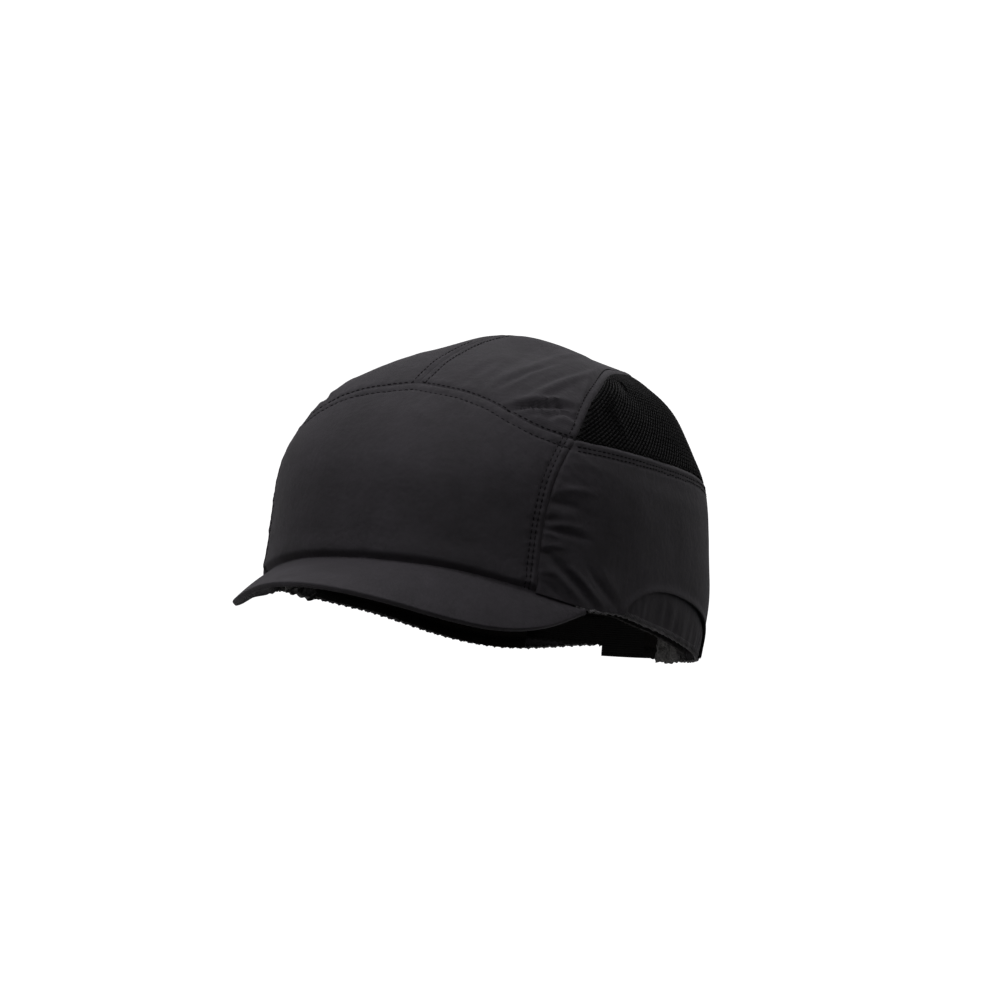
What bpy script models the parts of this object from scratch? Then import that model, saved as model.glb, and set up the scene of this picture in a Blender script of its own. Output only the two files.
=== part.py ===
"""A bump cap: a fabric baseball-style cap with a short peak over a vented ABS shell and foam pads.

Frame, in metres: +Z up as worn, +Y to the back of the head, +X to the wearer's left. The origin is the
centre of the head opening, level with the hem at the ears. The cap is drawn upright about that point, in
head axes, and an empty then tips it back by WEAR_TILT, which is how it sits on a head.
"""

import math

import bpy
from mathutils import Vector

MM = 0.001

# The outer skin of the cap, which every layer follows at its own depth.
HALF_WIDTH = 91.4 * MM
FRONT_LENGTH = 104.6 * MM
BACK_LENGTH = 117.7 * MM
PLAN_POWER = 2.33  # 2 is an ellipse, more is squarer
SHOULDER_Z = 52 * MM  # the wall is upright below this height, and the dome starts here
DOME_HEIGHT = 78.5 * MM
FRONT_POWER, SIDE_POWER, BACK_POWER = 1.76, 2.07, 3.07  # how square the dome is in each direction
DOME_LEAN = 0.08  # share by which the dome draws in towards the top
APEX_SHIFT = 9.9 * MM  # how far behind the widest point the top lies
DOME_REACH = 85 * MM  # length over the dome for each radian of its curve
WEAR_TILT = 8.6  # degrees

# Depths below the skin, as (outer face, inner face).
FABRIC = (0.0, 1.0 * MM)
SEAM_TAPE = (1.4 * MM, 1.9 * MM)
GUSSET = (1.4 * MM, 2.2 * MM)
GUSSET_ELASTIC = (2.5 * MM, 3.5 * MM)
SHELL = (2.6 * MM, 4.6 * MM)
FOAM = (5.3 * MM, 10.3 * MM)
SWEATBAND = (6.4 * MM, 9.2 * MM)
HEM_BINDING = (1.3 * MM, 6.1 * MM)
LABEL = (9.5 * MM, 9.9 * MM)

# Heights, as (degrees round from the front, height in mm), the same on both sides.
HEM = ((0, 12.7), (20, 11.2), (45, 5.6), (67, 0.8), (79, 1.2), (92, -2), (105, -5.4), (123, -8.6), (145, -9),
       (165, -7.5), (180, -5.5))
FRONT_SEAM = ((0, 96), (24, 90), (45, 77.5), (58, 70))
MESH_FOOT = ((58, 70), (80, 69.8), (115, 67), (180, 66))
ARCH = ((79, 2.5), (82, 8), (90, 14.5), (99, 14.5), (110, 10.5), (120, 2.5), (126, -8))

# Where the panels part.
FRONT_EDGE_LOW, FRONT_EDGE_HIGH = 50, 58  # degrees, at the hem and at the front seam
CROWN_EDGE = ((-57, 74.5), (-30, 70), (-12, 65.5), (36, 47.7), (80, 33), (125, 27))  # (y, half width), mm
SEAM_GAP = 0.4 * MM
EDGE_TURNS_DEG = 155  # where the crown's side edge turns down the back of the head
CROWN_RINGS = 9  # rows of faces up the crown
GUSSET_TUCK = 3 * MM  # how far the gusset runs up under the side panel
ELASTIC_HEIGHTS = (1 * MM, 7 * MM)  # above the hem
BINDING_SPAN, BINDING_HEIGHT = (69, 76), 4 * MM
TAPE_HALF_WIDTH, TAPE_EDGE_DROP = 5 * MM, 0.25 * MM

# The peak.
PEAK_REACH_DEG = 66.5  # how far round the hem each corner of the peak is
PEAK_LAYERS = {"peak_top_cover": (0.0, 0.6 * MM), "peak_board": (0.85 * MM, 2.15 * MM),
               "peak_under_cover": (2.4 * MM, 3.0 * MM)}
PEAK_TUCK = 4.8 * MM  # how deep below the skin the peak's inner edge lies
PEAK_END = 0.93  # share of the half crescent at which each corner is cut off
BOARD_INSET = 0.97  # share of the peak's reach that its board fills
PEAK_LOBE = 3.1 * MM  # how far each lobe stands out to its side
# The rim's reach to the front and its drop, each as the heights of cosines of 1, 3 and 5 times the turn.
PEAK_REACH = (101.4 * MM, 2.2 * MM, 0)
PEAK_DROP = (11.3 * MM, -8 * MM, 1.2 * MM)

# The size adjuster: two straps on an arc round a post at ARC_CENTRE_Y.
ARC_CENTRE_Y = 26.8 * MM
HOOK_STRAP_R = (86.4 * MM, 87.4 * MM)
HOOK_PATCH_R = (87.7 * MM, 88.3 * MM)
LOOP_STRAP_R = (88.6 * MM, 89.6 * MM)

LOOP_STRAP_SPAN, LOOP_STRAP_HEIGHTS = (-44, 26), (-5.5 * MM, 11.5 * MM)
HOOK_STRAP_SPAN, HOOK_STRAP_HEIGHTS = (3.2, 46), (-9.5 * MM, 11.5 * MM)
HOOK_PATCH_SPAN, HOOK_PATCH_HEIGHTS = (4.2, 26), (-7.5 * MM, 9.5 * MM)

# The shell's rim, and its slots as (degrees, height, slant) on each side.
SHELL_FOOT, SHELL_FOOT_WAVE = 27 * MM, 3 * MM
SLOTS = ((84, 84 * MM, 0), (100, 86 * MM, 0), (116, 86 * MM, 0), (132, 84 * MM, 0), (28, 88 * MM, 90),
         (60, 112 * MM, 90), (122, 116 * MM, 90))
SLOT_LENGTH, SLOT_WIDTH = 22 * MM, 6 * MM
CUTTER_REACH = 9 * MM

PAD_SPANS = {"foam_pad_front": (-34, 34), "foam_pad_left": (62, 118), "foam_pad_right": (-118, -62),
             "foam_pad_rear": (146, 214)}
PAD_HEIGHTS = (56 * MM, 78 * MM)
CROWN_PAD_FOOT = 119 * MM

SWEATBAND_END_DEG = 160
SWEATBAND_DROP, SWEATBAND_HEIGHT = 0.5 * MM, 32 * MM
LABEL_SPAN, LABEL_HEIGHTS = (126, 136), (2 * MM, 18 * MM)

# Looks, as (material, colour, roughness). Each object gets a material of its own from one of them.
TWILL = ("twill", (0.034, 0.032, 0.036, 1), 0.85)
MESH = ("mesh", (0.006, 0.006, 0.006, 1), 0.7)
ABS = ("abs", (0.015, 0.015, 0.016, 1), 0.4)
PAD_FOAM = ("foam", (0.02, 0.02, 0.021, 1), 0.9)
TERRY = ("terry", (0.1, 0.1, 0.1, 1), 0.95)
WEBBING = ("webbing", (0.012, 0.012, 0.012, 1), 0.8)
SATIN = ("satin", (0.75, 0.75, 0.73, 1), 0.6)


def clear_scene():
    for obj in list(bpy.data.objects):
        bpy.data.objects.remove(obj, do_unlink=True)


def along(points, at):
    """The height at angle `at`, on a smooth curve through (angle, height) points."""
    if at <= points[0][0]:
        return points[0][1]
    if at >= points[-1][0]:
        return points[-1][1]
    k = max(i for i, p in enumerate(points[:-1]) if p[0] <= at)

    def slope(i):
        lo, hi = max(i - 1, 0), min(i + 1, len(points) - 1)
        return (points[hi][1] - points[lo][1]) / (points[hi][0] - points[lo][0])

    (x0, y0), (x1, y1) = points[k], points[k + 1]
    width = x1 - x0
    u = (at - x0) / width
    return ((1 + 2 * u) * (1 - u) ** 2 * y0 + u * (1 - u) ** 2 * width * slope(k)
            + u * u * (3 - 2 * u) * y1 + u * u * (u - 1) * width * slope(k + 1))


def height(points, degrees):
    """The height in metres of one of the lines above, on either side of the cap."""
    return along(points, abs(degrees)) * MM


def signed_power(value, power):
    return math.copysign(abs(value) ** power, value)


def dome_power(degrees):
    sine, cosine = math.sin(math.radians(degrees)), math.cos(math.radians(degrees))
    return SIDE_POWER * sine**2 + (FRONT_POWER if cosine > 0 else BACK_POWER) * cosine**2


def climb(degrees, foot, share):
    """The height at this share of the way up the skin from foot to the top, in steps of about even length."""
    power = dome_power(degrees)
    start = math.asin(min(max((foot - SHOULDER_Z) / DOME_HEIGHT, 0), 1) ** (power / 2))
    wall = max(SHOULDER_Z - foot, 0)
    gone = share * (wall + (math.pi / 2 - start) * DOME_REACH)
    if gone < wall:
        return foot + gone
    return SHOULDER_Z + DOME_HEIGHT * math.sin(start + (gone - wall) / DOME_REACH) ** (2 / power)


def skin(degrees, z):
    """The point of the outer skin at this angle round from the front (+ is the wearer's left) and height."""
    t = math.radians(degrees)
    sine, cosine = math.sin(t), math.cos(t)
    rise = min(max((z - SHOULDER_Z) / DOME_HEIGHT, 0), 1)
    power = dome_power(degrees)
    scale = (1 - rise**power) ** (1 / power) * (1 - DOME_LEAN * rise)
    length = FRONT_LENGTH if cosine > 0 else BACK_LENGTH
    x = HALF_WIDTH * signed_power(sine, 2 / PLAN_POWER) * scale
    y = -length * signed_power(cosine, 2 / PLAN_POWER) * scale + APEX_SHIFT * rise**1.5
    return Vector((x, y, z))


def outwards(degrees, z):
    """The skin's outward normal there."""
    step, dz = 0.5, 0.4 * MM
    z = min(z, SHOULDER_Z + DOME_HEIGHT * 0.995)
    round_it = skin(degrees + step, z) - skin(degrees - step, z)
    up = skin(degrees, z + dz) - skin(degrees, z - dz)
    return round_it.cross(up).normalized()


def layer(degrees, z, depth):
    """The skin's point moved inwards by depth."""
    return skin(degrees, z) - outwards(degrees, z) * depth


def top_point(depth):
    return Vector((0, APEX_SHIFT, SHOULDER_Z + DOME_HEIGHT - depth))


def material(owner, look):
    """The owner's own Principled material."""
    kind, colour, roughness = look
    made = bpy.data.materials.new(f"{owner}_{kind}")
    made.use_nodes = True
    shader = made.node_tree.nodes["Principled BSDF"]
    shader.inputs["Base Color"].default_value = colour
    shader.inputs["Roughness"].default_value = roughness
    return made


def add_object(name, points, faces, look, parent):
    mesh = bpy.data.meshes.new(name)
    mesh.from_pydata([tuple(p) for p in points], [], faces)
    mesh.validate()
    mesh.shade_smooth()
    mesh.set_sharp_from_angle(angle=math.radians(40))
    mesh.materials.append(material(name, look))
    obj = bpy.data.objects.new(name, mesh)
    bpy.context.scene.collection.objects.link(obj)
    obj.parent = parent
    return obj


def slab(name, outer, inner, look, parent):
    """A closed sheet between two grids of points: rows run round to the wearer's left, columns run up."""
    rows, columns = len(outer), len(outer[0])
    points = [p for row in outer for p in row] + [p for row in inner for p in row]
    under = rows * columns

    def at(row, column):
        return row * columns + column

    faces = []
    for r in range(rows - 1):
        for c in range(columns - 1):
            quad = (at(r, c), at(r + 1, c), at(r + 1, c + 1), at(r, c + 1))
            faces.append(quad)
            faces.append(tuple(under + i for i in reversed(quad)))
    rim = [at(r, 0) for r in range(rows)] + [at(rows - 1, c) for c in range(1, columns)]
    rim += [at(r, columns - 1) for r in range(rows - 2, -1, -1)] + [at(0, c) for c in range(columns - 2, 0, -1)]
    for a, b in zip(rim, rim[1:] + rim[:1]):
        faces.append((b, a, under + a, under + b))
    return add_object(name, points, faces, look, parent)


def band(name, depths, degrees, low, high, steps, look, parent):
    """A patch of one layer between two angles and two heights, where low and high are functions of the angle."""
    round_steps, up_steps = steps
    first, last = degrees
    grids = []
    for depth in depths:
        grid = []
        for i in range(round_steps + 1):
            at = first + (last - first) * i / round_steps
            bottom, top = low(at), high(at)
            grid.append([layer(at, bottom + (top - bottom) * k / up_steps, depth)
                         for k in range(up_steps + 1)])
        grids.append(grid)
    return slab(name, grids[0], grids[1], look, parent)


def dome(name, depths, rings, around, foot, look, parent):
    """A layer over the top of the head, from its foot (a function of the angle) to the apex."""
    points, faces = [], []
    for depth in depths:
        for k in range(rings):
            for i in range(around):
                at = 360 * i / around - 180
                points.append(layer(at, climb(at, foot(at), k / rings), depth))
        points.append(top_point(depth))
    shift = rings * around + 1

    def at_ring(k, i, side):
        return side * shift + k * around + i % around

    for side in (0, 1):
        apex = side * shift + rings * around
        for k in range(rings):
            for i in range(around):
                if k < rings - 1:
                    face = (at_ring(k, i, side), at_ring(k, i + 1, side),
                            at_ring(k + 1, i + 1, side), at_ring(k + 1, i, side))
                else:
                    face = (at_ring(k, i, side), at_ring(k, i + 1, side), apex)
                faces.append(face if side == 0 else tuple(reversed(face)))
    for i in range(around):
        faces.append((at_ring(0, i + 1, 0), at_ring(0, i, 0), at_ring(0, i, 1), at_ring(0, i + 1, 1)))
    return add_object(name, points, faces, look, parent)


def crown_edge_height(degrees):
    """The height at which this angle's line up the skin crosses the crown panel's side edge."""
    low, high = height(MESH_FOOT, degrees), SHOULDER_Z + DOME_HEIGHT * 0.999
    for _ in range(40):
        middle = (low + high) / 2
        point = skin(degrees, middle)
        if abs(point.x) > along(CROWN_EDGE, point.y / MM) * MM:
            low = middle
        else:
            high = middle
    return low


def crown_edge_angle(z):
    """The angle behind the ear at which the crown panel's side edge is at this height."""
    first, last = EDGE_TURNS_DEG - 5, 179
    for _ in range(40):
        middle = (first + last) / 2
        point = skin(middle, z)
        if abs(point.x) > along(CROWN_EDGE, point.y / MM) * MM:
            first = middle
        else:
            last = middle
    return first


def mesh_top_path():
    """The edge between mesh and crown as (degrees, z): back over the head, then down behind it."""
    over, down = 16, 8
    path = []
    for i in range(over + 1):
        at = FRONT_EDGE_HIGH + (EDGE_TURNS_DEG - FRONT_EDGE_HIGH) * i / over
        path.append((at, crown_edge_height(at)))
    high, low = path[-1][1], height(MESH_FOOT, EDGE_TURNS_DEG)
    for i in range(1, down + 1):
        z = high + (low - high) * i / down
        path.append((crown_edge_angle(z), z))
    return path


def crown_outline():
    """The left crown panel's lower edge as (degrees, z), from the middle of the brow to the nape."""
    across, behind = 10, 3
    path = []
    for i in range(across):
        at = FRONT_EDGE_HIGH * i / across
        path.append((at, height(FRONT_SEAM, at)))
    path += mesh_top_path()
    last = path[-1][0]
    for i in range(1, behind + 1):
        at = last + (180 - last) * i / behind
        path.append((at, height(MESH_FOOT, at)))
    return path


def front_edge(share):
    """How far round the front panel reaches, in degrees, at this share of its height."""
    return FRONT_EDGE_LOW + (FRONT_EDGE_HIGH - FRONT_EDGE_LOW) * share**1.5


def add_front_panel(look, parent):
    grids = []
    round_steps, up_steps = 28, 7
    for depth in FABRIC:
        grid = []
        for i in range(round_steps + 1):
            column = []
            for k in range(up_steps + 1):
                at = (2 * i / round_steps - 1) * front_edge(k / up_steps)
                low = height(HEM, at) + SEAM_GAP
                high = height(FRONT_SEAM, at) - SEAM_GAP
                column.append(layer(at, low + (high - low) * k / up_steps, depth))
            grid.append(column)
        grids.append(grid)
    slab("front_panel", grids[0], grids[1], look, parent)


def side_foot(degrees):
    """The side panel's lower edge: the hem, lifted over the arch behind the ear."""
    hem = height(HEM, degrees)
    if ARCH[0][0] <= abs(degrees) <= ARCH[-1][0]:
        return max(hem, height(ARCH, degrees))
    return hem


def add_side_panel(side, sign, look, parent):
    grids = []
    round_steps, up_steps = 30, 5
    gap_deg = 0.3
    for depth in FABRIC:
        grid = []
        for i in range(round_steps + 1):
            column = []
            for k in range(up_steps + 1):
                share = k / up_steps
                first = front_edge(share) + gap_deg
                last = 180 - gap_deg
                at = sign * (first + (last - first) * i / round_steps)
                low, high = side_foot(at), height(MESH_FOOT, at) - SEAM_GAP
                column.append(layer(at, low + (high - low) * share, depth))
            grid.append(column)
        grids.append(grid if sign > 0 else grid[::-1])
    slab(f"side_panel_{side}", grids[0], grids[1], look, parent)


def add_mesh_panel(side, sign, look, parent):
    """The mesh between the side panel and the crown, which narrows to nothing beside the nape."""
    up_steps = 5
    path = [(at, z) for at, z in mesh_top_path()[:-1]]
    path[0] = (FRONT_EDGE_HIGH + 0.6, path[0][1])
    grids = []
    for depth in FABRIC:
        grid = []
        for at, top in path:
            low, high = height(MESH_FOOT, at) + SEAM_GAP, top - SEAM_GAP
            grid.append([layer(sign * at, low + (high - low) * k / up_steps, depth)
                         for k in range(up_steps + 1)])
        grids.append(grid if sign > 0 else grid[::-1])
    slab(f"mesh_panel_{side}", grids[0], grids[1], look, parent)


def add_crown_panel(side, sign, look, parent):
    """One half of the crown, fanned from the centre seam over the top."""
    outline_path = crown_outline()
    around, rings = len(outline_path) - 1, CROWN_RINGS - 1
    gap = SEAM_GAP / 2
    grids = []
    for depth in FABRIC:
        grid = []
        for at, foot in outline_path:
            column = []
            for k in range(rings + 1):
                point = layer(at, climb(at, foot + SEAM_GAP, k / CROWN_RINGS), depth)
                point.x = max(point.x, gap)
                column.append(point)
            grid.append(column)
        centre = top_point(depth)
        centre.x = gap
        grids.append((grid, centre))
    points, faces = [], []
    for grid, centre in grids:
        points += [p for column in grid for p in column] + [centre]
    under = (around + 1) * (rings + 1) + 1
    tip = under - 1

    def index(i, k):
        return i * (rings + 1) + k

    outline = ([index(i, 0) for i in range(around + 1)] + [index(around, k) for k in range(1, rings + 1)]
               + [tip] + [index(0, k) for k in range(rings, 0, -1)])
    for i in range(around):
        for k in range(rings):
            quad = (index(i, k), index(i + 1, k), index(i + 1, k + 1), index(i, k + 1))
            faces += [quad, tuple(under + n for n in reversed(quad))]
        cap = (index(i, rings), index(i + 1, rings), tip)
        faces += [cap, tuple(under + n for n in reversed(cap))]
    for a, b in zip(outline, outline[1:] + outline[:1]):
        faces.append((b, a, under + a, under + b))
    if sign < 0:
        points = [Vector((-p.x, p.y, p.z)) for p in points]
        faces = [tuple(reversed(f)) for f in faces]
    add_object(f"crown_panel_{side}", points, faces, look, parent)


def add_crown_tape(look, parent):
    """The tape under the crown's centre seam, from the front seam over the top to the back seam."""
    start, end = height(FRONT_SEAM, 0) + SEAM_GAP, height(MESH_FOOT, 180) + SEAM_GAP
    path = [(0, climb(0, start, k / CROWN_RINGS)) for k in range(CROWN_RINGS)]
    path += [(180, climb(180, end, k / CROWN_RINGS)) for k in range(CROWN_RINGS, -1, -1)]
    grids = []
    for depth in SEAM_TAPE:
        line = [top_point(depth) if i == CROWN_RINGS else layer(at, z, depth)
                for i, (at, z) in enumerate(path)]
        edges = ((-TAPE_HALF_WIDTH, TAPE_EDGE_DROP), (0, 0), (TAPE_HALF_WIDTH, TAPE_EDGE_DROP))
        grids.append([[Vector((x, p.y, p.z - drop)) for p in line] for x, drop in edges])
    slab("crown_seam_tape", grids[0], grids[1], look, parent)


def mirrored(span, sign):
    """A span of angles on the wearer's left, or its mirror image on the right."""
    first, last = span
    return span if sign > 0 else (-last, -first)


def add_gusset(side, sign, look, elastic_look, parent):
    """The gathered half-moon behind the ear, tucked under the side panel's arch, with its elastic."""
    first, last = ARCH[0][0] - 1, ARCH[-1][0] + 1
    span = mirrored((first, last), sign)

    def top(at):
        inside = min(max(abs(at), ARCH[0][0]), ARCH[-1][0])
        return max(height(ARCH, inside), height(HEM, at)) + GUSSET_TUCK

    band(f"ear_gusset_{side}", GUSSET, span, lambda at: height(HEM, at), top, (18, 3), look, parent)
    elastic_span = mirrored((first + 3, last - 8), sign)
    low, high = ELASTIC_HEIGHTS
    band(f"gusset_elastic_{side}", GUSSET_ELASTIC, elastic_span, lambda at: height(HEM, at) + low,
         lambda at: height(HEM, at) + high, (12, 1), elastic_look, parent)


def add_hem_binding(side, sign, look, parent):
    """The tape that joins the fabric to the sweatband, from the peak's corner to the back pocket."""
    band(f"hem_binding_{side}", HEM_BINDING, mirrored(BINDING_SPAN, sign), lambda at: height(HEM, at),
         lambda at: height(HEM, at) + BINDING_HEIGHT, (3, 1), look, parent)


def shell_foot(degrees):
    """The shell's rim: higher over the brow and the ears than at the sides of them."""
    return SHELL_FOOT - SHELL_FOOT_WAVE * math.cos(math.radians(2 * degrees))


def cut(target, cutter_points, cutter_faces, name, look, parent):
    cutter = add_object(name, cutter_points, cutter_faces, look, parent)
    cutter.hide_render = True
    cutter.display_type = "WIRE"
    boolean = target.modifiers.new(name, "BOOLEAN")
    boolean.operation = "DIFFERENCE"
    boolean.solver = "EXACT"
    boolean.object = cutter


def slot_cutter(degrees, z, slant):
    """A round-ended bar through the shell at this place, its long side turned by slant from upright."""
    centre, out = layer(degrees, z, sum(SHELL) / 2), outwards(degrees, z)
    side = Vector((0, 0, 1)).cross(out).normalized()
    up = out.cross(side)
    turn = math.radians(slant)
    long_way = up * math.cos(turn) + side * math.sin(turn)
    wide_way = long_way.cross(out)
    outline, corners = [], 6
    straight = (SLOT_LENGTH - SLOT_WIDTH) / 2
    for end in (1, -1):
        for i in range(corners + 1):
            a = math.pi * i / corners
            outline.append(long_way * end * (straight + SLOT_WIDTH / 2 * math.sin(a))
                           + wide_way * end * SLOT_WIDTH / 2 * math.cos(a))
    n = len(outline)
    points = [centre + p + out * CUTTER_REACH for p in outline]
    points += [centre + p - out * CUTTER_REACH for p in outline]
    faces = [tuple(range(n)), tuple(range(2 * n - 1, n - 1, -1))]
    faces += [(i, n + i, n + (i + 1) % n, (i + 1) % n) for i in range(n)]
    normal = (points[1] - points[0]).cross(points[2] - points[1])
    if normal.dot(out) < 0:
        faces = [tuple(reversed(f)) for f in faces]
    return points, faces


def add_shell(look, parent):
    """The ABS shell, with slots under both mesh panels and over the top."""
    shell = dome("abs_shell", SHELL, 12, 60, shell_foot, look, parent)
    slots = [(sign * at, z, slant) for sign in (1, -1) for at, z, slant in SLOTS]
    for i, slot in enumerate(slots):
        points, faces = slot_cutter(*slot)
        cut(shell, points, faces, f"vent_cutter_{i}", look, parent)


def add_pads(look, parent):
    low, high = PAD_HEIGHTS
    for name, span in PAD_SPANS.items():
        band(name, FOAM, span, lambda at: low, lambda at: high, (10, 3), look, parent)
    dome("foam_pad_crown", FOAM, 3, 24, lambda at: CROWN_PAD_FOOT, look, parent)


def add_sweatband(look, parent):
    band("sweatband", SWEATBAND, (-SWEATBAND_END_DEG, SWEATBAND_END_DEG),
         lambda at: height(HEM, at) - SWEATBAND_DROP,
         lambda at: height(HEM, at) + SWEATBAND_HEIGHT, (56, 3), look, parent)


def peak_base(share):
    """The peak's inner edge, tucked under the front panel, at -1 to 1 from corner to corner."""
    at = share * PEAK_REACH_DEG
    return layer(at, height(HEM, at), PEAK_TUCK)


def peak_rim(share):
    """The peak's free edge: a crescent whose two lobes hang lower than its middle."""
    u = share * math.pi / 2
    corner = skin(PEAK_REACH_DEG, height(HEM, PEAK_REACH_DEG))
    waves = [math.cos(k * u) for k in (1, 3, 5)]
    x = (corner.x - PEAK_LOBE) * math.sin(u) - PEAK_LOBE * math.sin(3 * u)
    y = corner.y - sum(size * wave for size, wave in zip(PEAK_REACH, waves))
    z = corner.z - sum(size * wave for size, wave in zip(PEAK_DROP, waves))
    return Vector((x, y, z))


def peak_point(share, out, depth):
    """A point of the peak's top face, out from 0 at the hem to 1 at the rim, moved down by depth."""
    base, rim = peak_base(share), peak_rim(share)
    step = 0.01
    across = peak_rim(share + step) - peak_rim(share - step) + peak_base(share + step) - peak_base(share - step)
    up = across.cross(base - rim).normalized()
    return base + (rim - base) * out - up * depth


def add_peak(cover_look, board_look, parent):
    stations, rows = 30, 4
    for name, depths in PEAK_LAYERS.items():
        inset, look = (BOARD_INSET, board_look) if name == "peak_board" else (1.0, cover_look)
        grids = []
        for depth in depths:
            grids.append([[peak_point(PEAK_END * (2 * i / stations - 1), inset * k / rows, depth)
                           for k in range(rows, -1, -1)] for i in range(stations + 1)])
        slab(name, grids[0], grids[1], look, parent)


def arc_strap(name, radii, degrees, heights, steps, look, parent):
    """A strap bent round the post, between two angles from straight back towards the left."""
    grids = []
    for radius in reversed(radii):
        grid = []
        for i in range(steps + 1):
            a = math.radians(degrees[0] + (degrees[1] - degrees[0]) * i / steps)
            grid.append([Vector((radius * math.sin(a), radius * math.cos(a), z)) for z in heights])
        grids.append(grid[::-1])
    slab(name, grids[0], grids[1], look, parent)


def add_straps(web, head):
    """The size adjuster. Its post is the centre of the arc that the hooked strap slides along."""
    post = bpy.data.objects.new("strap_post", None)
    post.location.y = ARC_CENTRE_Y
    post.parent = head
    bpy.context.scene.collection.objects.link(post)
    arc_strap("loop_strap", LOOP_STRAP_R, LOOP_STRAP_SPAN, LOOP_STRAP_HEIGHTS, 16, web, post)
    arc_strap("hook_strap", HOOK_STRAP_R, HOOK_STRAP_SPAN, HOOK_STRAP_HEIGHTS, 12, web, post)
    arc_strap("hook_patch", HOOK_PATCH_R, HOOK_PATCH_SPAN, HOOK_PATCH_HEIGHTS, 7, web, post)


def add_label(look, parent):
    """The blank care label, sewn to the inner face of the sweatband."""
    low, high = LABEL_HEIGHTS
    band("care_label", LABEL, LABEL_SPAN, lambda at: low, lambda at: high, (3, 1), look, parent)


def main():
    clear_scene()
    head = bpy.data.objects.new("head_axes", None)
    head.rotation_euler.x = -math.radians(WEAR_TILT)
    bpy.context.scene.collection.objects.link(head)

    add_front_panel(TWILL, head)
    for side, sign in (("left", 1), ("right", -1)):
        add_crown_panel(side, sign, TWILL, head)
        add_side_panel(side, sign, TWILL, head)
        add_mesh_panel(side, sign, MESH, head)
        add_gusset(side, sign, TWILL, WEBBING, head)
        add_hem_binding(side, sign, TWILL, head)
    add_crown_tape(WEBBING, head)
    add_shell(ABS, head)
    add_pads(PAD_FOAM, head)
    add_sweatband(TERRY, head)
    add_peak(TWILL, ABS, head)
    add_straps(WEBBING, head)
    add_label(SATIN, head)


main()
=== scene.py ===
"""The looks of the bump cap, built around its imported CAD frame.

Lengths below are millimetres in head axes: the cap upright about the centre of the head opening, +Z up, +Y
back and +X to the wearer's left. Angles go round from the front, + to the wearer's left. `world` tips these
axes back to how the cap is worn, which is the frame that everything else is in.
"""

import functools
import math

import bmesh
import bpy
import numpy as np
from mathutils import Matrix, Vector
from mathutils.bvhtree import BVHTree

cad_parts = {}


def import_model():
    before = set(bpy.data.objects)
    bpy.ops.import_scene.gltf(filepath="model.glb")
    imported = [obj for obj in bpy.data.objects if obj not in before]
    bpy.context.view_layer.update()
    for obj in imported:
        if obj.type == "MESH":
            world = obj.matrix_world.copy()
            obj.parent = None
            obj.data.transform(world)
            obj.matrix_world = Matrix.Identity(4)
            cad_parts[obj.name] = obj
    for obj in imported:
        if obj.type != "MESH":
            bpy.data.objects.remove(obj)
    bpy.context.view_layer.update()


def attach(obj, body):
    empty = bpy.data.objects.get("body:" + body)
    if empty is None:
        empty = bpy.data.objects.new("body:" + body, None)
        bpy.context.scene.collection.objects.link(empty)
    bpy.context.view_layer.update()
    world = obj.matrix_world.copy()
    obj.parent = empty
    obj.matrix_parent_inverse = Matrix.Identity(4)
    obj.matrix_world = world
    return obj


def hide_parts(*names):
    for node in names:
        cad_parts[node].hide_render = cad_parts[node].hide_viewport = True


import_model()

MM = 0.001

# The outer skin, as in the CAD source.
HALF_WIDTH, FRONT_LENGTH, BACK_LENGTH = 91.4, 104.6, 117.7
PLAN_POWER = 2.33
SHOULDER_Z, DOME_HEIGHT = 52.0, 78.5
FRONT_POWER, SIDE_POWER, BACK_POWER = 1.76, 2.07, 3.07
DOME_LEAN, APEX_SHIFT, DOME_REACH = 0.08, 9.9, 85.0
WEAR_TILT = math.radians(8.6)

# Lines round the cap, as (degrees, height).
HEM = ((0, 12.7), (20, 11.2), (45, 5.6), (67, 0.8), (79, 1.2), (92, -2), (105, -5.4), (123, -8.6), (145, -9),
       (165, -7.5), (180, -5.5))
FRONT_SEAM = ((0, 96), (24, 90), (45, 79), (58, 75.3))
MESH_FOOT = ((58, 75.3), (80, 74.4), (111, 74), (145, 72), (180, 70))
ARCH = ((79, 2.5), (82, 8), (90, 14.5), (99, 14.5), (110, 10.5), (120, 2.5), (126, -8))
FRONT_EDGE_LOW, FRONT_EDGE_HIGH, FRONT_EDGE_POWER = 49, 58, 3.3
# The crown's side edge, as (y, half width).
CROWN_EDGE = ((-57, 74.2), (-45, 71.3), (-33, 67.7), (-20, 64), (-5, 58.5), (35, 43), (80, 31), (125, 26))
EDGE_TURNS_DEG = 155

# The cap as worn. Its soft back swells low down, at (degrees, height), and its hem rides up at the right.
SHOULDER_EASE = 9
SWELL, SWELL_AT = 4.2, (121, 17)
SWELL_ROUND, SWELL_ABOVE, SWELL_BELOW = 26, 26, 34
# Where its crown and sides dip (-) or stand out (+), as (x, y, z, spread, size).
DENTS = ((43.6, -44.6, 118, 20, -2.2), (25, -19, 124, 17, -3.2), (34, -31, 118, 15, -1.2),
         (66, 71, 92, 18, -1.6), (65, -62, 60, 26, -1.4), (0, 5, 130, 26, 0.9), (36, 36, 126, 20, -2.2),
         (62, 60, 110, 24, 1.3))
HEM_RISE, HEM_RISE_AT, HEM_RISE_SPREAD = 7.0, 112, 26
BACK_RISE, BACK_RISE_SPREAD = 2.8, 18

PEAK_REACH_DEG = 66.5
ARC_CENTRE_Y = 26.8
CLOTH = 0.8  # thickness of the outer cloth
HALVES_APART = 0.02  # each half of the crown stops this far from the middle


# ---------------------------------------------------------------- the skin

def spread(low, high, count):
    return np.linspace(low, high, count)


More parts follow.
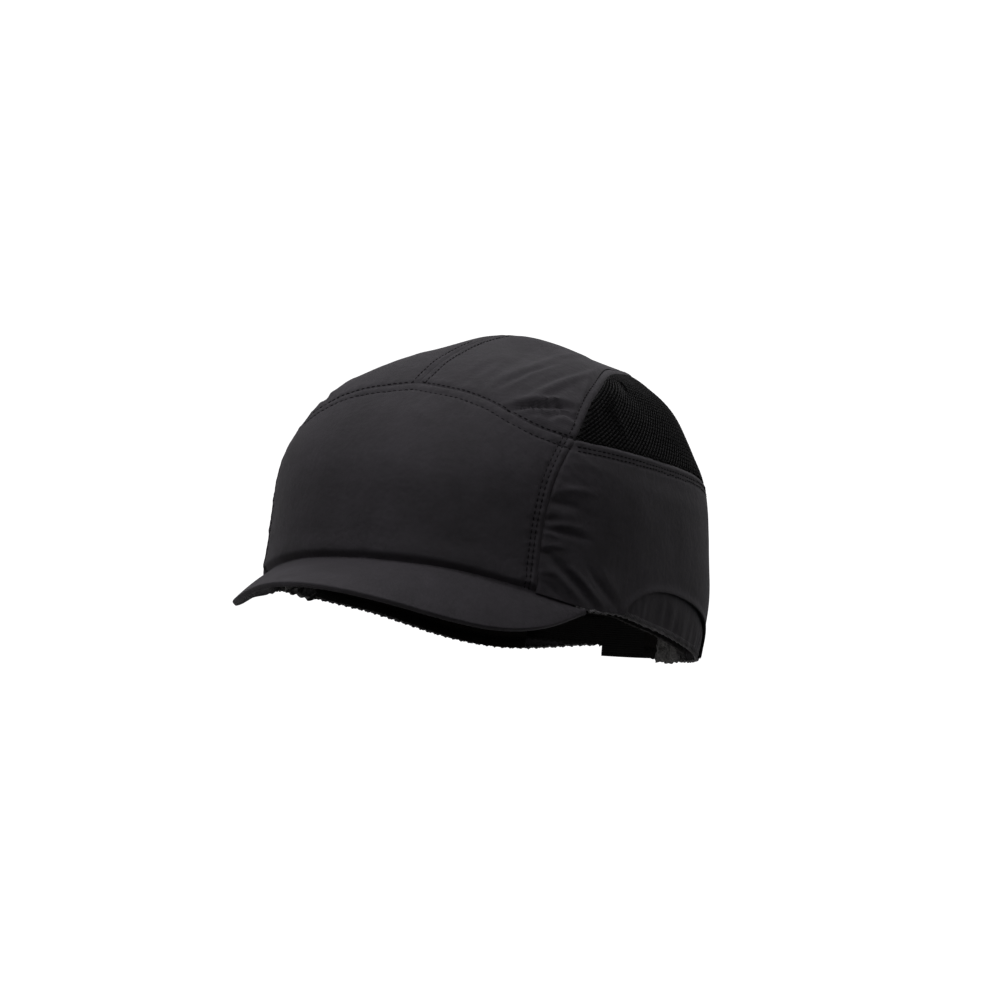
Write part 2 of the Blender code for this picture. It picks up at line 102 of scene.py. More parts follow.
def lattice(along, up):
    """Two grids from (low, high, count): one grows from row to row, the other from column to column."""
    return np.meshgrid(spread(*along), spread(*up), indexing="ij")


def bell(distance, width):
    return np.exp(-((distance / width) ** 2))


def curve(points, at):
    """Heights on the smooth curve through (angle, height) points, the same on both sides."""
    x, y = (np.array(p, float) for p in zip(*points))
    slope = np.empty_like(y)
    slope[1:-1] = (y[2:] - y[:-2]) / (x[2:] - x[:-2])
    slope[0], slope[-1] = (y[1] - y[0]) / (x[1] - x[0]), (y[-1] - y[-2]) / (x[-1] - x[-2])
    at = np.clip(at, x[0], x[-1])
    k = np.clip(np.searchsorted(x, at, side="right") - 1, 0, len(x) - 2)
    width = x[k + 1] - x[k]
    u = (at - x[k]) / width
    return ((1 + 2 * u) * (1 - u) ** 2 * y[k] + u * (1 - u) ** 2 * width * slope[k]
            + u * u * (3 - 2 * u) * y[k + 1] + u * u * (u - 1) * width * slope[k + 1])


def round_curve(points, degrees):
    return curve(points, np.abs(degrees))


def dome_power(degrees):
    sine, cosine = np.sin(np.radians(degrees)), np.cos(np.radians(degrees))
    return SIDE_POWER * sine**2 + np.where(cosine > 0, FRONT_POWER, BACK_POWER) * cosine**2


def narrowing(degrees, z):
    """The share of its width that the form keeps at this height."""
    rise = np.clip((z - SHOULDER_Z) / DOME_HEIGHT, 0, 1)
    power = dome_power(degrees)
    return (1 - rise**power) ** (1 / power) * (1 - DOME_LEAN * rise)


def form(degrees, z):
    """The CAD's skin, with the bend at its shoulder eased as cloth eases it."""
    t = np.radians(degrees)
    sine, cosine = np.sin(t), np.cos(t)
    ease = SHOULDER_EASE * bell(z - SHOULDER_Z, 1.6 * SHOULDER_EASE)
    scale = sum(narrowing(degrees, z + k * ease) for k in (-1, -0.5, 0, 0.5, 1)) / 5
    length = np.where(cosine > 0, FRONT_LENGTH, BACK_LENGTH)
    rise = np.clip((z - SHOULDER_Z) / DOME_HEIGHT, 0, 1)
    x = HALF_WIDTH * np.sign(sine) * np.abs(sine) ** (2 / PLAN_POWER) * scale
    y = -length * np.sign(cosine) * np.abs(cosine) ** (2 / PLAN_POWER) * scale + APEX_SHIFT * rise**1.5
    return np.stack([x, y, z + 0 * x], -1)


def give(degrees, z, points):
    """How far the cap as worn stands out from its plain form: its soft back swells and its crown dips."""
    swell = bell(np.abs(degrees) - SWELL_AT[0], SWELL_ROUND)
    swell = swell * bell(z - SWELL_AT[1], np.where(z > SWELL_AT[1], SWELL_ABOVE, SWELL_BELOW))
    total = SWELL * swell
    for x, y, height, spread_mm, size in DENTS:
        apart = np.abs(points[..., 0]) - x, points[..., 1] - y, points[..., 2] - height
        total = total + size * bell(np.sqrt(sum(a * a for a in apart)), spread_mm)
    return total


def skin(degrees, z):
    points = form(degrees, z)
    return points + outwards(degrees, z) * give(degrees, z, points)[..., None]


def unit(v):
    return v / np.maximum(np.linalg.norm(v, axis=-1, keepdims=True), 1e-9)


def outwards(degrees, z):
    step, dz = 0.5, 0.4
    z = np.minimum(z, SHOULDER_Z + DOME_HEIGHT * 0.995)
    round_it = form(degrees + step, z) - form(degrees - step, z)
    return unit(np.cross(round_it, form(degrees, z + dz) - form(degrees, z - dz)))


def dome_turn(degrees, z):
    """How far over the dome this height is, from 0 at the shoulder to a quarter turn at the top."""
    return np.arcsin(np.clip((z - SHOULDER_Z) / DOME_HEIGHT, 0, 1) ** (dome_power(degrees) / 2))


def climb(degrees, foot, share):
    """The height at this share of the way up the skin from foot to the top, in steps of about even length."""
    power, start = dome_power(degrees), dome_turn(degrees, foot)
    wall = np.maximum(SHOULDER_Z - foot, 0)
    gone = share * (wall + (math.pi / 2 - start) * DOME_REACH)
    turned = np.clip(start + (gone - wall) / DOME_REACH, 0, math.pi / 2)
    return np.where(gone < wall, foot + gone, SHOULDER_Z + DOME_HEIGHT * np.sin(turned) ** (2 / power))


def bisect(inside, low, high):
    for _ in range(40):
        middle = (low + high) / 2
        hit = inside(middle)
        low, high = np.where(hit, middle, low), np.where(hit, high, middle)
    return low


def off_crown(point):
    return np.abs(point[..., 0]) > curve(CROWN_EDGE, point[..., 1])


def crown_edge_height(degrees):
    top = SHOULDER_Z + DOME_HEIGHT * 0.999
    return bisect(lambda z: off_crown(skin(degrees, z)), round_curve(MESH_FOOT, degrees), top + 0 * degrees)


def crown_edge_angle(z):
    return bisect(lambda at: off_crown(skin(at, z)), EDGE_TURNS_DEG - 5 + 0 * z, 179 + 0 * z)


def run_length(points):
    """How far each point lies along the line of points."""
    return np.concatenate([[0], np.cumsum(np.linalg.norm(np.diff(points, axis=0), axis=1))])


def evenly(path, count):
    """(degrees, z) rows spaced evenly along the skin."""
    gone = run_length(skin(path[:, 0], path[:, 1]))
    at = np.linspace(0, gone[-1], count)
    return np.stack([np.interp(at, gone, path[:, 0]), np.interp(at, gone, path[:, 1])], 1)


@functools.cache
def mesh_top_path(count):
    """The edge between mesh and crown: back over the head, then down behind it."""
    over = np.linspace(FRONT_EDGE_HIGH, EDGE_TURNS_DEG, 60)
    high = crown_edge_height(over)
    down = np.linspace(high[-1], round_curve(MESH_FOOT, EDGE_TURNS_DEG), 40)[1:]
    path = np.concatenate([np.stack([over, high], 1), np.stack([crown_edge_angle(down), down], 1)])
    return evenly(path, count)


def front_edge(share):
    return FRONT_EDGE_LOW + (FRONT_EDGE_HIGH - FRONT_EDGE_LOW) * share**FRONT_EDGE_POWER


def hem_rise(degrees):
    side = np.where(degrees < 0, HEM_RISE * bell(np.abs(degrees) - HEM_RISE_AT, HEM_RISE_SPREAD), 0)
    return side + BACK_RISE * bell(np.abs(degrees) - 180, BACK_RISE_SPREAD)


def hem(degrees):
    return round_curve(HEM, degrees) + hem_rise(degrees)


def side_foot(degrees):
    at = np.abs(degrees)
    arched = (at >= ARCH[0][0]) & (at <= ARCH[-1][0])
    return np.where(arched, np.maximum(hem(degrees), curve(ARCH, at) + hem_rise(degrees)), hem(degrees))


def line_on_skin(degrees, z, depth=0.0):
    return skin(degrees, z) - outwards(degrees, z) * depth


# ---------------------------------------------------------------- relief in the cloth

HASH_STEPS = (73856093, 19349663, 83492791, 2654435761)  # primes that scatter x, y, z and the seed
HASH_MIX = 1274126177
MOST_AT_ONCE = 4000  # points whose distances to a line are found together


def perlin(at, seed=0):
    """Smooth noise from -1 to 1 at rows of 3 coordinates."""
    at = np.asarray(at, float)
    cell = np.floor(at).astype(np.int64)
    inside = at - cell
    fade = inside**3 * (inside * (inside * 6 - 15) + 10)
    total = np.zeros(at.shape[:-1])
    for corner in np.ndindex(2, 2, 2):
        c = cell + corner
        mixed = seed * HASH_STEPS[3]
        for axis in range(3):
            mixed = mixed ^ (c[..., axis] * HASH_STEPS[axis])
        mixed = (mixed ^ (mixed >> 13)) * HASH_MIX & 0x7FFFFFFF
        turn, tip = (mixed & 1023) / 1023 * 2 * math.pi, ((mixed >> 10) & 1023) / 1023 * 2 - 1
        flat = np.sqrt(1 - tip**2)
        slope = np.stack([flat * np.cos(turn), flat * np.sin(turn), tip], -1)
        weight = np.prod(np.where(corner, fade, 1 - fade), axis=-1)
        total += weight * np.sum(slope * (inside - corner), -1)
    return total * 1.6


def ripple_at(a, b, c, seed):
    """Smooth noise where the coordinates are three grids or numbers."""
    return perlin(np.stack(np.broadcast_arrays(a, b, c), -1), seed)


def near(points, line):
    """Each point's distance to a line of points, and how far along the line that is."""
    flat = points.reshape(-1, 3)
    along = run_length(line)
    gap, place = np.empty(len(flat)), np.empty(len(flat))
    for first in range(0, len(flat), MOST_AT_ONCE):
        some = slice(first, first + MOST_AT_ONCE)
        apart = np.linalg.norm(flat[some, None] - line[None], axis=2)
        best = apart.argmin(1)
        gap[some] = apart[np.arange(len(best)), best]
        place[some] = along[best]
    return gap.reshape(points.shape[:-1]), place.reshape(points.shape[:-1])


def smooth_step(value, low, high):
    u = np.clip((value - low) / (high - low), 0, 1)
    return u * u * (3 - 2 * u)


def seam_relief(points, line, rows=(), turn_in=0.9, pucker=0.0, reach=14.0, wave=7.0, seed=1):
    """Cloth beside a seam: it turns in at the seam, dips under each stitch row and puckers away from it."""
    gap, place = near(points, line)
    lift = -turn_in * bell(gap, 0.8)
    for row in rows:
        pull = 0.5 + 0.5 * np.cos(2 * math.pi * place / STITCH_PITCH)
        lift -= (0.25 + 0.3 * pull) * bell(gap - row, 0.75)
        lift += 0.14 * bell(gap - row / 2, row / 3)
    if pucker:
        ripple = ripple_at(place / wave, gap / reach, 0.5, seed)
        lift += pucker * ripple * np.exp(-gap / reach) * smooth_step(gap, 0.3, 3)
    return lift


def fold(points, places, size, width):
    """A soft ridge, or with a negative size a valley, along (degrees, z) places, fading at both ends."""
    path = np.array(places, float)
    steps = np.linspace(0, len(path) - 1, 60)
    index = np.arange(len(path))
    line = line_on_skin(np.interp(steps, index, path[:, 0]), np.interp(steps, index, path[:, 1]))
    gap, place = near(points, line)
    length = place.max() + 1e-6
    return size * bell(gap, width) * np.sin(np.pi * np.clip(place / length, 0.03, 0.97)) ** 0.7


# ---------------------------------------------------------------- meshes

HEAD_MIDDLE = (0, 10, 30)  # faces that look away from here are a piece's outer ones


def world(points):
    c, s = math.cos(WEAR_TILT), math.sin(WEAR_TILT)
    x, y, z = np.moveaxis(np.asarray(points, float), -1, 0)
    return np.stack([x, y * c + z * s, -y * s + z * c], -1) * MM


def make_mesh(name, points, quads, look, slot, triangles=None, uv=None, body="cap", replaces=(), sharp=50):
    """A smooth-shaded piece from points in head axes."""
    data = bpy.data.meshes.new(name)
    faces = [quads.reshape(-1, 4)] + ([] if triangles is None else [triangles.reshape(-1, 3)])
    sizes = np.concatenate([np.full(len(f), f.shape[1]) for f in faces])
    loops = np.concatenate([f.ravel() for f in faces]).astype(np.int32)
    data.vertices.add(len(points))
    data.vertices.foreach_set("co", world(points).astype(np.float32).ravel())
    data.loops.add(len(loops))
    data.loops.foreach_set("vertex_index", loops)
    data.polygons.add(len(sizes))
    data.polygons.foreach_set("loop_start", np.concatenate([[0], np.cumsum(sizes)[:-1]]).astype(np.int32))
    data.update(calc_edges=True)
    if uv is not None:
        layer = data.uv_layers.new(name="UVMap")
        layer.data.foreach_set("uv", np.asarray(uv, np.float32)[loops].ravel())
    data.validate()
    data.shade_smooth()
    data.set_sharp_from_angle(angle=math.radians(sharp))
    data.materials.append(look)
    made = bpy.data.objects.new(name, data)
    bpy.context.scene.collection.objects.link(made)
    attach(made, body)
    if replaces:
        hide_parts(*replaces)
    return made


def grid_quads(rows, columns, shift=0):
    r, c = np.meshgrid(np.arange(rows - 1), np.arange(columns - 1), indexing="ij")
    a = (r * columns + c).ravel() + shift
    return np.stack([a, a + columns, a + columns + 1, a + 1], 1)


def rim_of(rows, columns):
    index = np.arange(rows * columns).reshape(rows, columns)
    return np.concatenate([index[:, 0], index[-1, 1:], index[-2::-1, -1], index[0, -2:0:-1]])


def cloth_uv(grid):
    """Millimetres along and up the cloth, from the grid's own spacing."""
    along = np.linalg.norm(np.diff(grid, axis=0), axis=-1).mean(1)
    up = np.linalg.norm(np.diff(grid, axis=1), axis=-1).mean(0)
    u = np.concatenate([[0], np.cumsum(along)])
    v = np.concatenate([[0], np.cumsum(up)])
    return np.stack(np.meshgrid(u, v, indexing="ij"), -1).reshape(-1, 2)


def slab(name, outer, inner, look, slot, **more):
    """A closed sheet between two grids whose rows run to the wearer's left and whose columns run up."""
    rows, columns = outer.shape[:2]
    under = rows * columns
    top = grid_quads(rows, columns)
    rim = rim_of(rows, columns)
    after = np.roll(rim, -1)
    side = np.stack([after, rim, under + rim, under + after], 1)
    quads = np.concatenate([top, under + top[:, ::-1], side])
    uv = cloth_uv(outer)
    points = np.concatenate([outer.reshape(-1, 3), inner.reshape(-1, 3)])
    return make_mesh(name, points, quads, look, slot, uv=np.concatenate([uv, uv]), **more)


def sheet_on_skin(name, degrees, z, lift, thickness, look, slot, depth=0.0, **more):
    """A slab that follows the skin with relief, for grids of angles and heights."""
    base, out = skin(degrees, z), outwards(degrees, z)
    outer = base + out * (lift - depth)[..., None]
    inner = outer - out * thickness
    if degrees[-1, 0] < degrees[0, 0]:
        outer, inner = outer[::-1], inner[::-1]
    return slab(name, outer, inner, look, slot, **more)


def surface_of(piece, facing=1):
    """The faces of a piece that look away from the middle of the head or, with facing=-1, towards it."""
    middle = Vector(world(HEAD_MIDDLE))
    faces = [face for face in piece.data.polygons if facing * face.normal.dot(face.center - middle) > 0]
    return BVHTree.FromPolygons([v.co for v in piece.data.vertices], [face.vertices[:] for face in faces])


# ---------------------------------------------------------------- stitches

STITCH_PITCH = 2.8
STITCH_MIDDLE = np.array([0, 5, 30])  # rows are moved over the surface as seen from here


def capsule(length, radius, sides=6):
    """A thread's visible stretch: round, bowed up in the middle, along +X with +Z away from the cloth."""
    stations = ((-0.5, 0.35, -0.6), (-0.36, 0.9, 0.1), (0.0, 1.0, 0.35), (0.36, 0.9, 0.1), (0.5, 0.35, -0.6))
    turns = np.arange(sides) * 2 * math.pi / sides
    rings = [np.stack([np.full(sides, at * length), radius * size * np.cos(turns),
                       radius * (size * np.sin(turns) + rise)], 1) for at, size, rise in stations]
    points = np.concatenate(rings)
    a = np.arange(len(stations) - 1)[:, None] * sides + np.arange(sides)
    b = np.arange(len(stations) - 1)[:, None] * sides + np.roll(np.arange(sides), -1)
    quads = np.stack([a, b, b + sides, a + sides], -1).reshape(-1, 4)
    last = (len(stations) - 1) * sides
    caps = [[0, k + 1, k] for k in range(1, sides - 1)]
    caps += [[last, last + k, last + k + 1] for k in range(1, sides - 1)]
    return points, quads, np.array(caps)


def world_to_head(point):
    c, s = math.cos(WEAR_TILT), math.sin(WEAR_TILT)
    x, y, z = (v / MM for v in point)
    return np.array([x, y * c - z * s, y * s + z * c])


def stitches(name, tree, rows, look, pitch=STITCH_PITCH, length=1.9, radius=0.27, slant=0.0, **more):
    """Threads laid on a piece's surface along rows of points, each `pitch` from the last."""
    base, base_quads, base_caps = capsule(length, radius)
    points, quads, caps = [], [], []
    for row in rows:
        gone = run_length(row)
        places = np.arange(pitch / 2, gone[-1], pitch)
        at, ahead, behind = (np.stack([np.interp(places + shift, gone, row[:, k]) for k in range(3)], 1)
                             for shift in (0, 0.5, -0.5))
        for centre, run in zip(at, unit(ahead - behind)):
            hit, out, _, _ = tree.find_nearest(Vector(world(centre)))
            if hit is None:
                continue
            spot = world_to_head(hit)
            up = unit(world_to_head(out * MM))
            run = unit(run - up * (run @ up))
            across = np.cross(up, run)
            turned = run * math.cos(slant) + across * math.sin(slant)
            first = len(points) * len(base)
            points.append(base @ np.stack([turned, np.cross(up, turned), up]) + spot)
            quads.append(base_quads + first)
            caps.append(base_caps + first)
    return make_mesh(name, np.concatenate(points), np.concatenate(quads), look, "webbing",
                     triangles=np.concatenate(caps), sharp=180, **more)


def beside(line, offset, towards):
    """The line moved over the surface by offset, to the side of a point."""
    run = np.gradient(line, axis=0)
    across = unit(np.cross(run, unit(line - STITCH_MIDDLE)))
    side = np.sign(np.sum(across * (np.asarray(towards) - line), -1).mean())
    return line + across * offset * side


# ---------------------------------------------------------------- materials

def node(tree, kind, **inputs):
    made = tree.nodes.new(kind)
    for key, value in inputs.items():
        made.inputs[key.replace("_", " ")].default_value = value
    return made


def material(name, colour, roughness, specular=None, sheen=0.0):
    """A Principled material, its tree, and its shader node."""
    made = bpy.data.materials.new(name)
    made.use_nodes = True
    tree = made.node_tree
    shader = tree.nodes["Principled BSDF"]
    shader.inputs["Base Color"].default_value = (*colour, 1)
    shader.inputs["Roughness"].default_value = roughness
    shader.inputs["Sheen Weight"].default_value = sheen
    shader.inputs["Sheen Roughness"].default_value = 0.45
    if specular is not None:
        shader.inputs["Specular IOR Level"].default_value = specular
    return made, tree, shader


def on_object(tree, kind, output, **inputs):
    """The output of a texture that is laid out by the object's own coordinates."""
    place, made = tree.nodes.new("ShaderNodeTexCoord"), node(tree, kind, **inputs)
    tree.links.new(place.outputs["Object"], made.inputs["Vector"])
    return made.outputs[output]


def mottle(tree, shader, dark, light, scale, detail=4.0, roughness=0.6):
    """Colour that drifts between two shades over the piece."""
    cloud = on_object(tree, "ShaderNodeTexNoise", "Fac", Scale=scale, Detail=detail, Roughness=roughness)
    ramp = tree.nodes.new("ShaderNodeValToRGB")
    ramp.color_ramp.elements[0].position, ramp.color_ramp.elements[1].position = 0.3, 0.7
    ramp.color_ramp.elements[0].color = (*dark, 1)
    ramp.color_ramp.elements[1].color = (*light, 1)
    tree.links.new(cloud, ramp.inputs["Fac"])
    tree.links.new(ramp.outputs["Color"], shader.inputs["Base Color"])


def add_bump(tree, shader, heights):
    """Stacks bump maps given as (height socket, strength, metres)."""
    last = None
    for height, strength, distance in heights:
        bump = node(tree, "ShaderNodeBump", Strength=strength, Distance=distance)
        tree.links.new(height, bump.inputs["Height"])
        if last:
            tree.links.new(last.outputs["Normal"], bump.inputs["Normal"])
        last = bump
    tree.links.new(last.outputs["Normal"], shader.inputs["Normal"])


def weave_height(tree, pitch_mm, turn_deg=45):
    """Height of a twill's ribs, from UVs in millimetres."""
    uv = tree.nodes.new("ShaderNodeUVMap")
    uv.uv_map = "UVMap"
    turn = node(tree, "ShaderNodeMapping", Rotation=(0, 0, math.radians(turn_deg)))
    tree.links.new(uv.outputs["UV"], turn.inputs["Vector"])
    wave = node(tree, "ShaderNodeTexWave", Scale=0.314 / pitch_mm, Distortion=0.6, Detail=1.0)
    tree.links.new(turn.outputs["Vector"], wave.inputs["Vector"])
    return wave.outputs["Fac"]


def noise_height(tree, scale, detail=3.0):
    return on_object(tree, "ShaderNodeTexNoise", "Fac", Scale=scale, Detail=detail)


def cell_height(tree, scale, randomness=1.0):
    return on_object(tree, "ShaderNodeTexVoronoi", "Distance", Scale=scale, Randomness=randomness)


def make_look(name, colour, roughness, shades, bumps, specular=None, sheen=0.0):
    """A material from `shades`, mottle's settings, and `bumps`: (height, its settings, strength, metres)."""
    made, tree, shader = material(name, colour, roughness, specular, sheen)
    mottle(tree, shader, *shades)
    add_bump(tree, shader, [(height(tree, *settings), strength, distance)
                            for height, settings, strength, distance in bumps])
    return made


def twill_material():
    return make_look("charcoal_twill", (0.034, 0.031, 0.036), 0.8,
                     ((0.0225, 0.0205, 0.023), (0.0425, 0.0386, 0.0446), 34, 12.0, 0.78),
                     ((weave_height, (0.55,), 0.5, 0.0001), (noise_height, (420,), 0.5, 0.0005),
                      (noise_height, (90,), 0.35, 0.0012)), specular=0.35, sheen=0.05)


def knit_material():
    return make_look("black_knit", (0.003, 0.003, 0.0031), 0.6,
                     ((0.0018, 0.0018, 0.0018), (0.0044, 0.0044, 0.0045), 90),
                     ((noise_height, (2600,), 0.4, 0.0001),), specular=0.07)


def backing_material():
    return make_look("mesh_backing", (0.0025, 0.0025, 0.0026), 0.9,
                     ((0.002, 0.002, 0.002), (0.0035, 0.0035, 0.0035), 60),
                     ((noise_height, (900,), 0.3, 0.0002),))


def thread_material(name, colour):
    shades = tuple(0.8 * c for c in colour), tuple(1.25 * c for c in colour), 300
    return make_look(name, colour, 0.8, shades, ((noise_height, (5000,), 0.4, 0.00005),), specular=0.12)


def terry_material(name, dark, light):
    """Brushed towelling: small loops at two sizes."""
    return make_look(name, light, 0.95, (dark, light, 700, 6.0),
                     ((noise_height, (900, 5.0), 0.9, 0.0005), (noise_height, (2600,), 0.6, 0.0002)),
                     specular=0.15, sheen=0.08)


def plastic_material():
    return make_look("black_abs", (0.016, 0.016, 0.017), 0.38,
                     ((0.014, 0.014, 0.015), (0.019, 0.019, 0.020), 40),
                     ((noise_height, (1800,), 0.25, 0.0001),))


def foam_material():
    return make_look("black_foam", (0.022, 0.022, 0.023), 0.92,
                     ((0.017, 0.017, 0.018), (0.028, 0.028, 0.029), 500, 6.0),
                     ((cell_height, (1300.0,), 0.5, 0.0002),))


def webbing_material():
    return make_look("black_webbing", (0.007, 0.0066, 0.0064), 0.8,
                     ((0.005, 0.0046, 0.0044), (0.010, 0.0094, 0.009), 120),
                     ((weave_height, (1.1, 90), 0.6, 0.0002), (weave_height, (0.7, 0), 0.4, 0.0001)),
                     specular=0.2)


def hook_material():
    return make_look("black_hook_tape", (0.01, 0.01, 0.01), 0.5,
                     ((0.007, 0.007, 0.007), (0.014, 0.014, 0.014), 800),
                     ((cell_height, (1100.0, 0.25), 0.9, 0.0004),))


def label_material():
    return make_look("white_satin", (0.72, 0.72, 0.70), 0.5, ((0.66, 0.66, 0.64), (0.76, 0.76, 0.74), 60),
                     ((weave_height, (0.4, 0), 0.3, 0.00005),), sheen=0.2)


# ---------------------------------------------------------------- seams and edges

@functools.cache
def front_seam_line():
    at = spread(-FRONT_EDGE_HIGH, FRONT_EDGE_HIGH, 300)
    return line_on_skin(at, round_curve(FRONT_SEAM, at))


@functools.cache
def side_seam_line(sign):
    share = spread(0, 1, 140)
    at = front_edge(share)
    low, high = hem(sign * at), round_curve(FRONT_SEAM, at)
    return line_on_skin(sign * at, low + (high - low) * share)


@functools.cache
def crown_side_line(sign):
    path = mesh_top_path(300)
    return line_on_skin(sign * path[:, 0], path[:, 1])


@functools.cache
def mesh_foot_line(sign):
    at = spread(FRONT_EDGE_HIGH, 180, 320)
    return line_on_skin(sign * at, round_curve(MESH_FOOT, at))


@functools.cache
def centre_seam_line():
    share = spread(0, 0.995, 120)
    zero, half_turn = 0 * share, 180 + 0 * share
    over = line_on_skin(zero, climb(zero, round_curve(FRONT_SEAM, zero), share))
    behind = line_on_skin(half_turn, climb(half_turn, round_curve(MESH_FOOT, half_turn), share))
    both = np.concatenate([over, behind[::-1]])
    both[:, 0] = 0
    return both


def back_seam_line():
    z = spread(round_curve(HEM, 180), round_curve(MESH_FOOT, 180), 120)
    return line_on_skin(180 + 0 * z, z)


def arch_line(sign):
    at = spread(ARCH[0][0], ARCH[-1][0], 160)
    return line_on_skin(sign * at, side_foot(sign * at))


def hem_line(first, last, sign, depth):
    at = sign * spread(first, last, 400)
    return line_on_skin(at, hem(at), depth)


# ---------------------------------------------------------------- the outer cloth

# How far each row of stitches lies from its seam.
CENTRE_ROWS = (3.6,)
FRONT_ROWS = (5.6,)
CROWN_FRONT_ROWS = (0.9,)
CROWN_SIDE_ROWS = (3.8,)
SIDE_FRONT_ROWS = (3.4, 5.4)
BAND_ROWS = (3.4, 5.6)
BACK_ROWS = (3.4,)

FAR_FOLDS = 0.35  # the right side is creased less than the left

# Ridges (+) and valleys (-) that the cloth holds, as (places, size, width).
CROWN_FOLDS = (
    (((23, 94), (29, 101), (37, 108), (48, 115), (62, 120), (94, 124)), 0.8, 2.6),
    (((23.5, 92), (26, 103), (30.5, 110), (40.5, 121)), -0.7, 3.2),
    (((29, 92), (36, 100), (43.5, 107), (55, 113), (66.5, 117)), 0.8, 2.0),
    (((28, 95), (36, 102.5), (42, 108), (49.5, 112), (63, 116)), -0.8, 1.8),
    (((38, 90), (43, 93.5), (48, 98), (58.5, 105), (80, 113.5)), 1.1, 2.0),
    (((40, 95), (45, 99), (52, 105), (67, 111)), -0.8, 2.2),
    (((44, 92), (52, 97), (62, 103)), -0.5, 1.6),
    (((13, 101), (17, 108), (20, 115)), 0.35, 2.2),
    (((17, 98), (21, 106), (26, 114)), -0.35, 2.2),
    (((34, 84.5), (38, 87), (43, 89), (48, 90), (54, 90.5), (60, 90)), -2.4, 1.7),
    (((33, 87.5), (40, 91), (47, 93), (54, 93.5), (60, 93)), 1.3, 1.8),
    (((47, 83), (50.5, 86), (54, 87.5), (58, 86), (60.5, 83)), -1.6, 1.3),
    (((38, 84.5), (43, 86.5), (48, 87), (51, 86.5)), 1.0, 1.2),
    (((50, 83), (54, 84.5), (58, 82.5)), 0.9, 1.1),
    (((41, 82), (46, 83), (50, 81)), 0.6, 1.1),
    (((61, 93), (66, 103), (73, 111), (88, 117.5)), 0.5, 1.4),
    (((100, 119), (125, 122), (150, 124)), 0.6, 7.0),
    (((140, 112), (160, 108), (172, 100)), -0.6, 6.0),
    (((172, 84), (168, 92), (160, 104)), 0.6, 4.0),
)
SIDE_FOLDS = (
    (((53, 66), (60, 65), (72, 62)), 0.3, 2.2),
    (((49.5, 49), (53, 50.5), (57.5, 52), (66, 52)), 0.7, 1.8),
    (((49, 45), (52, 45), (56, 45), (61, 44)), -0.9, 1.5),
    (((49, 40), (53.5, 40.5), (60, 40)), 0.6, 1.6),
    (((49, 37), (51.5, 37), (54, 37)), -0.5, 1.2),
    (((49, 34), (53, 35.5), (57, 36), (64, 35)), 0.6, 1.5),
    (((50, 33), (54, 32.5), (59, 32), (66, 31)), -0.9, 1.5),
    (((48.5, 30.5), (51.5, 31), (54.5, 30)), 0.6, 1.1),
    (((48.5, 25.5), (52, 26), (57, 26)), 0.7, 1.3),
    (((48.5, 22.5), (50, 22.5), (52.5, 22)), -0.7, 1.0),
    (((50.5, 23), (54, 19), (58, 15), (62, 11), (66, 5), (69, 1)), -1.1, 1.9),
    (((57, 19), (62, 14), (67, 8), (72, 2)), 0.9, 1.7),
    (((64, 20), (67, 15.5), (71, 10), (76.5, 3)), -0.8, 1.7),
    (((69, 20), (73, 14), (77, 8)), 0.5, 2.4),
    (((48.5, 18.5), (53, 15), (58, 10), (64.5, 3)), 0.7, 1.5),
    (((48.5, 14), (51, 14), (54.5, 13.5)), 0.5, 1.0),
    (((48.5, 10.5), (52, 9), (57, 4)), -0.6, 1.4),
    (((64, 66), (90, 64), (110, 61)), -0.3, 4.0),
    (((128, 4), (134, 16), (142, 34)), 0.7, 4.5),
    (((130, -4), (139, 8), (152, 20)), -0.6, 4.5),
)
FRONT_FOLDS = (
    (((1, 86), (5, 81), (9, 77), (13, 74)), 0.35, 2.6),
    (((-30, 61), (-12, 62.5), (8, 62), (22, 60)), -0.35, 7.0),
    (((42, 60), (46, 52), (48, 40)), 0.35, 3.0),
)


def cloth_drift(points, seed=3):
    """The slow unevenness of cloth that isn't pulled tight."""
    return 0.45 * perlin(points / 36, seed) + 0.14 * perlin(points / 12, seed + 1)


def add_folds(points, folds, sign, strength=1.0):
    lift = 0
    for places, size, width in folds:
        lift = lift + strength * fold(points, [(sign * at, z) for at, z in places], size, width)
    return lift


def add_front_panel(look):
    across, share = lattice((-1, 1, 230), (0, 1, 110))
    degrees = across * front_edge(share)
    low, high = hem(degrees) - 0.8, round_curve(FRONT_SEAM, degrees)
    z = low + (high - low) * share
    points = skin(degrees, z)
    lift = cloth_drift(points)
    lift += seam_relief(points, front_seam_line(), FRONT_ROWS, 0.7, pucker=0.5, reach=7, wave=3, seed=11)
    for sign in (1, -1):
        lift += seam_relief(points, side_seam_line(sign), SIDE_FRONT_ROWS, 0.6, pucker=0.5, reach=7, wave=3.2,
                            seed=12)
    lift += add_folds(points, FRONT_FOLDS, 1)
    lift += 0.5 * smooth_step(z - low, 14, 5) - 2.2 * smooth_step(z - low, 4.5, 0)
    return sheet_on_skin("front_panel_cloth", degrees, z, lift, CLOTH, look, "twill",
                         replaces=("front_panel",))


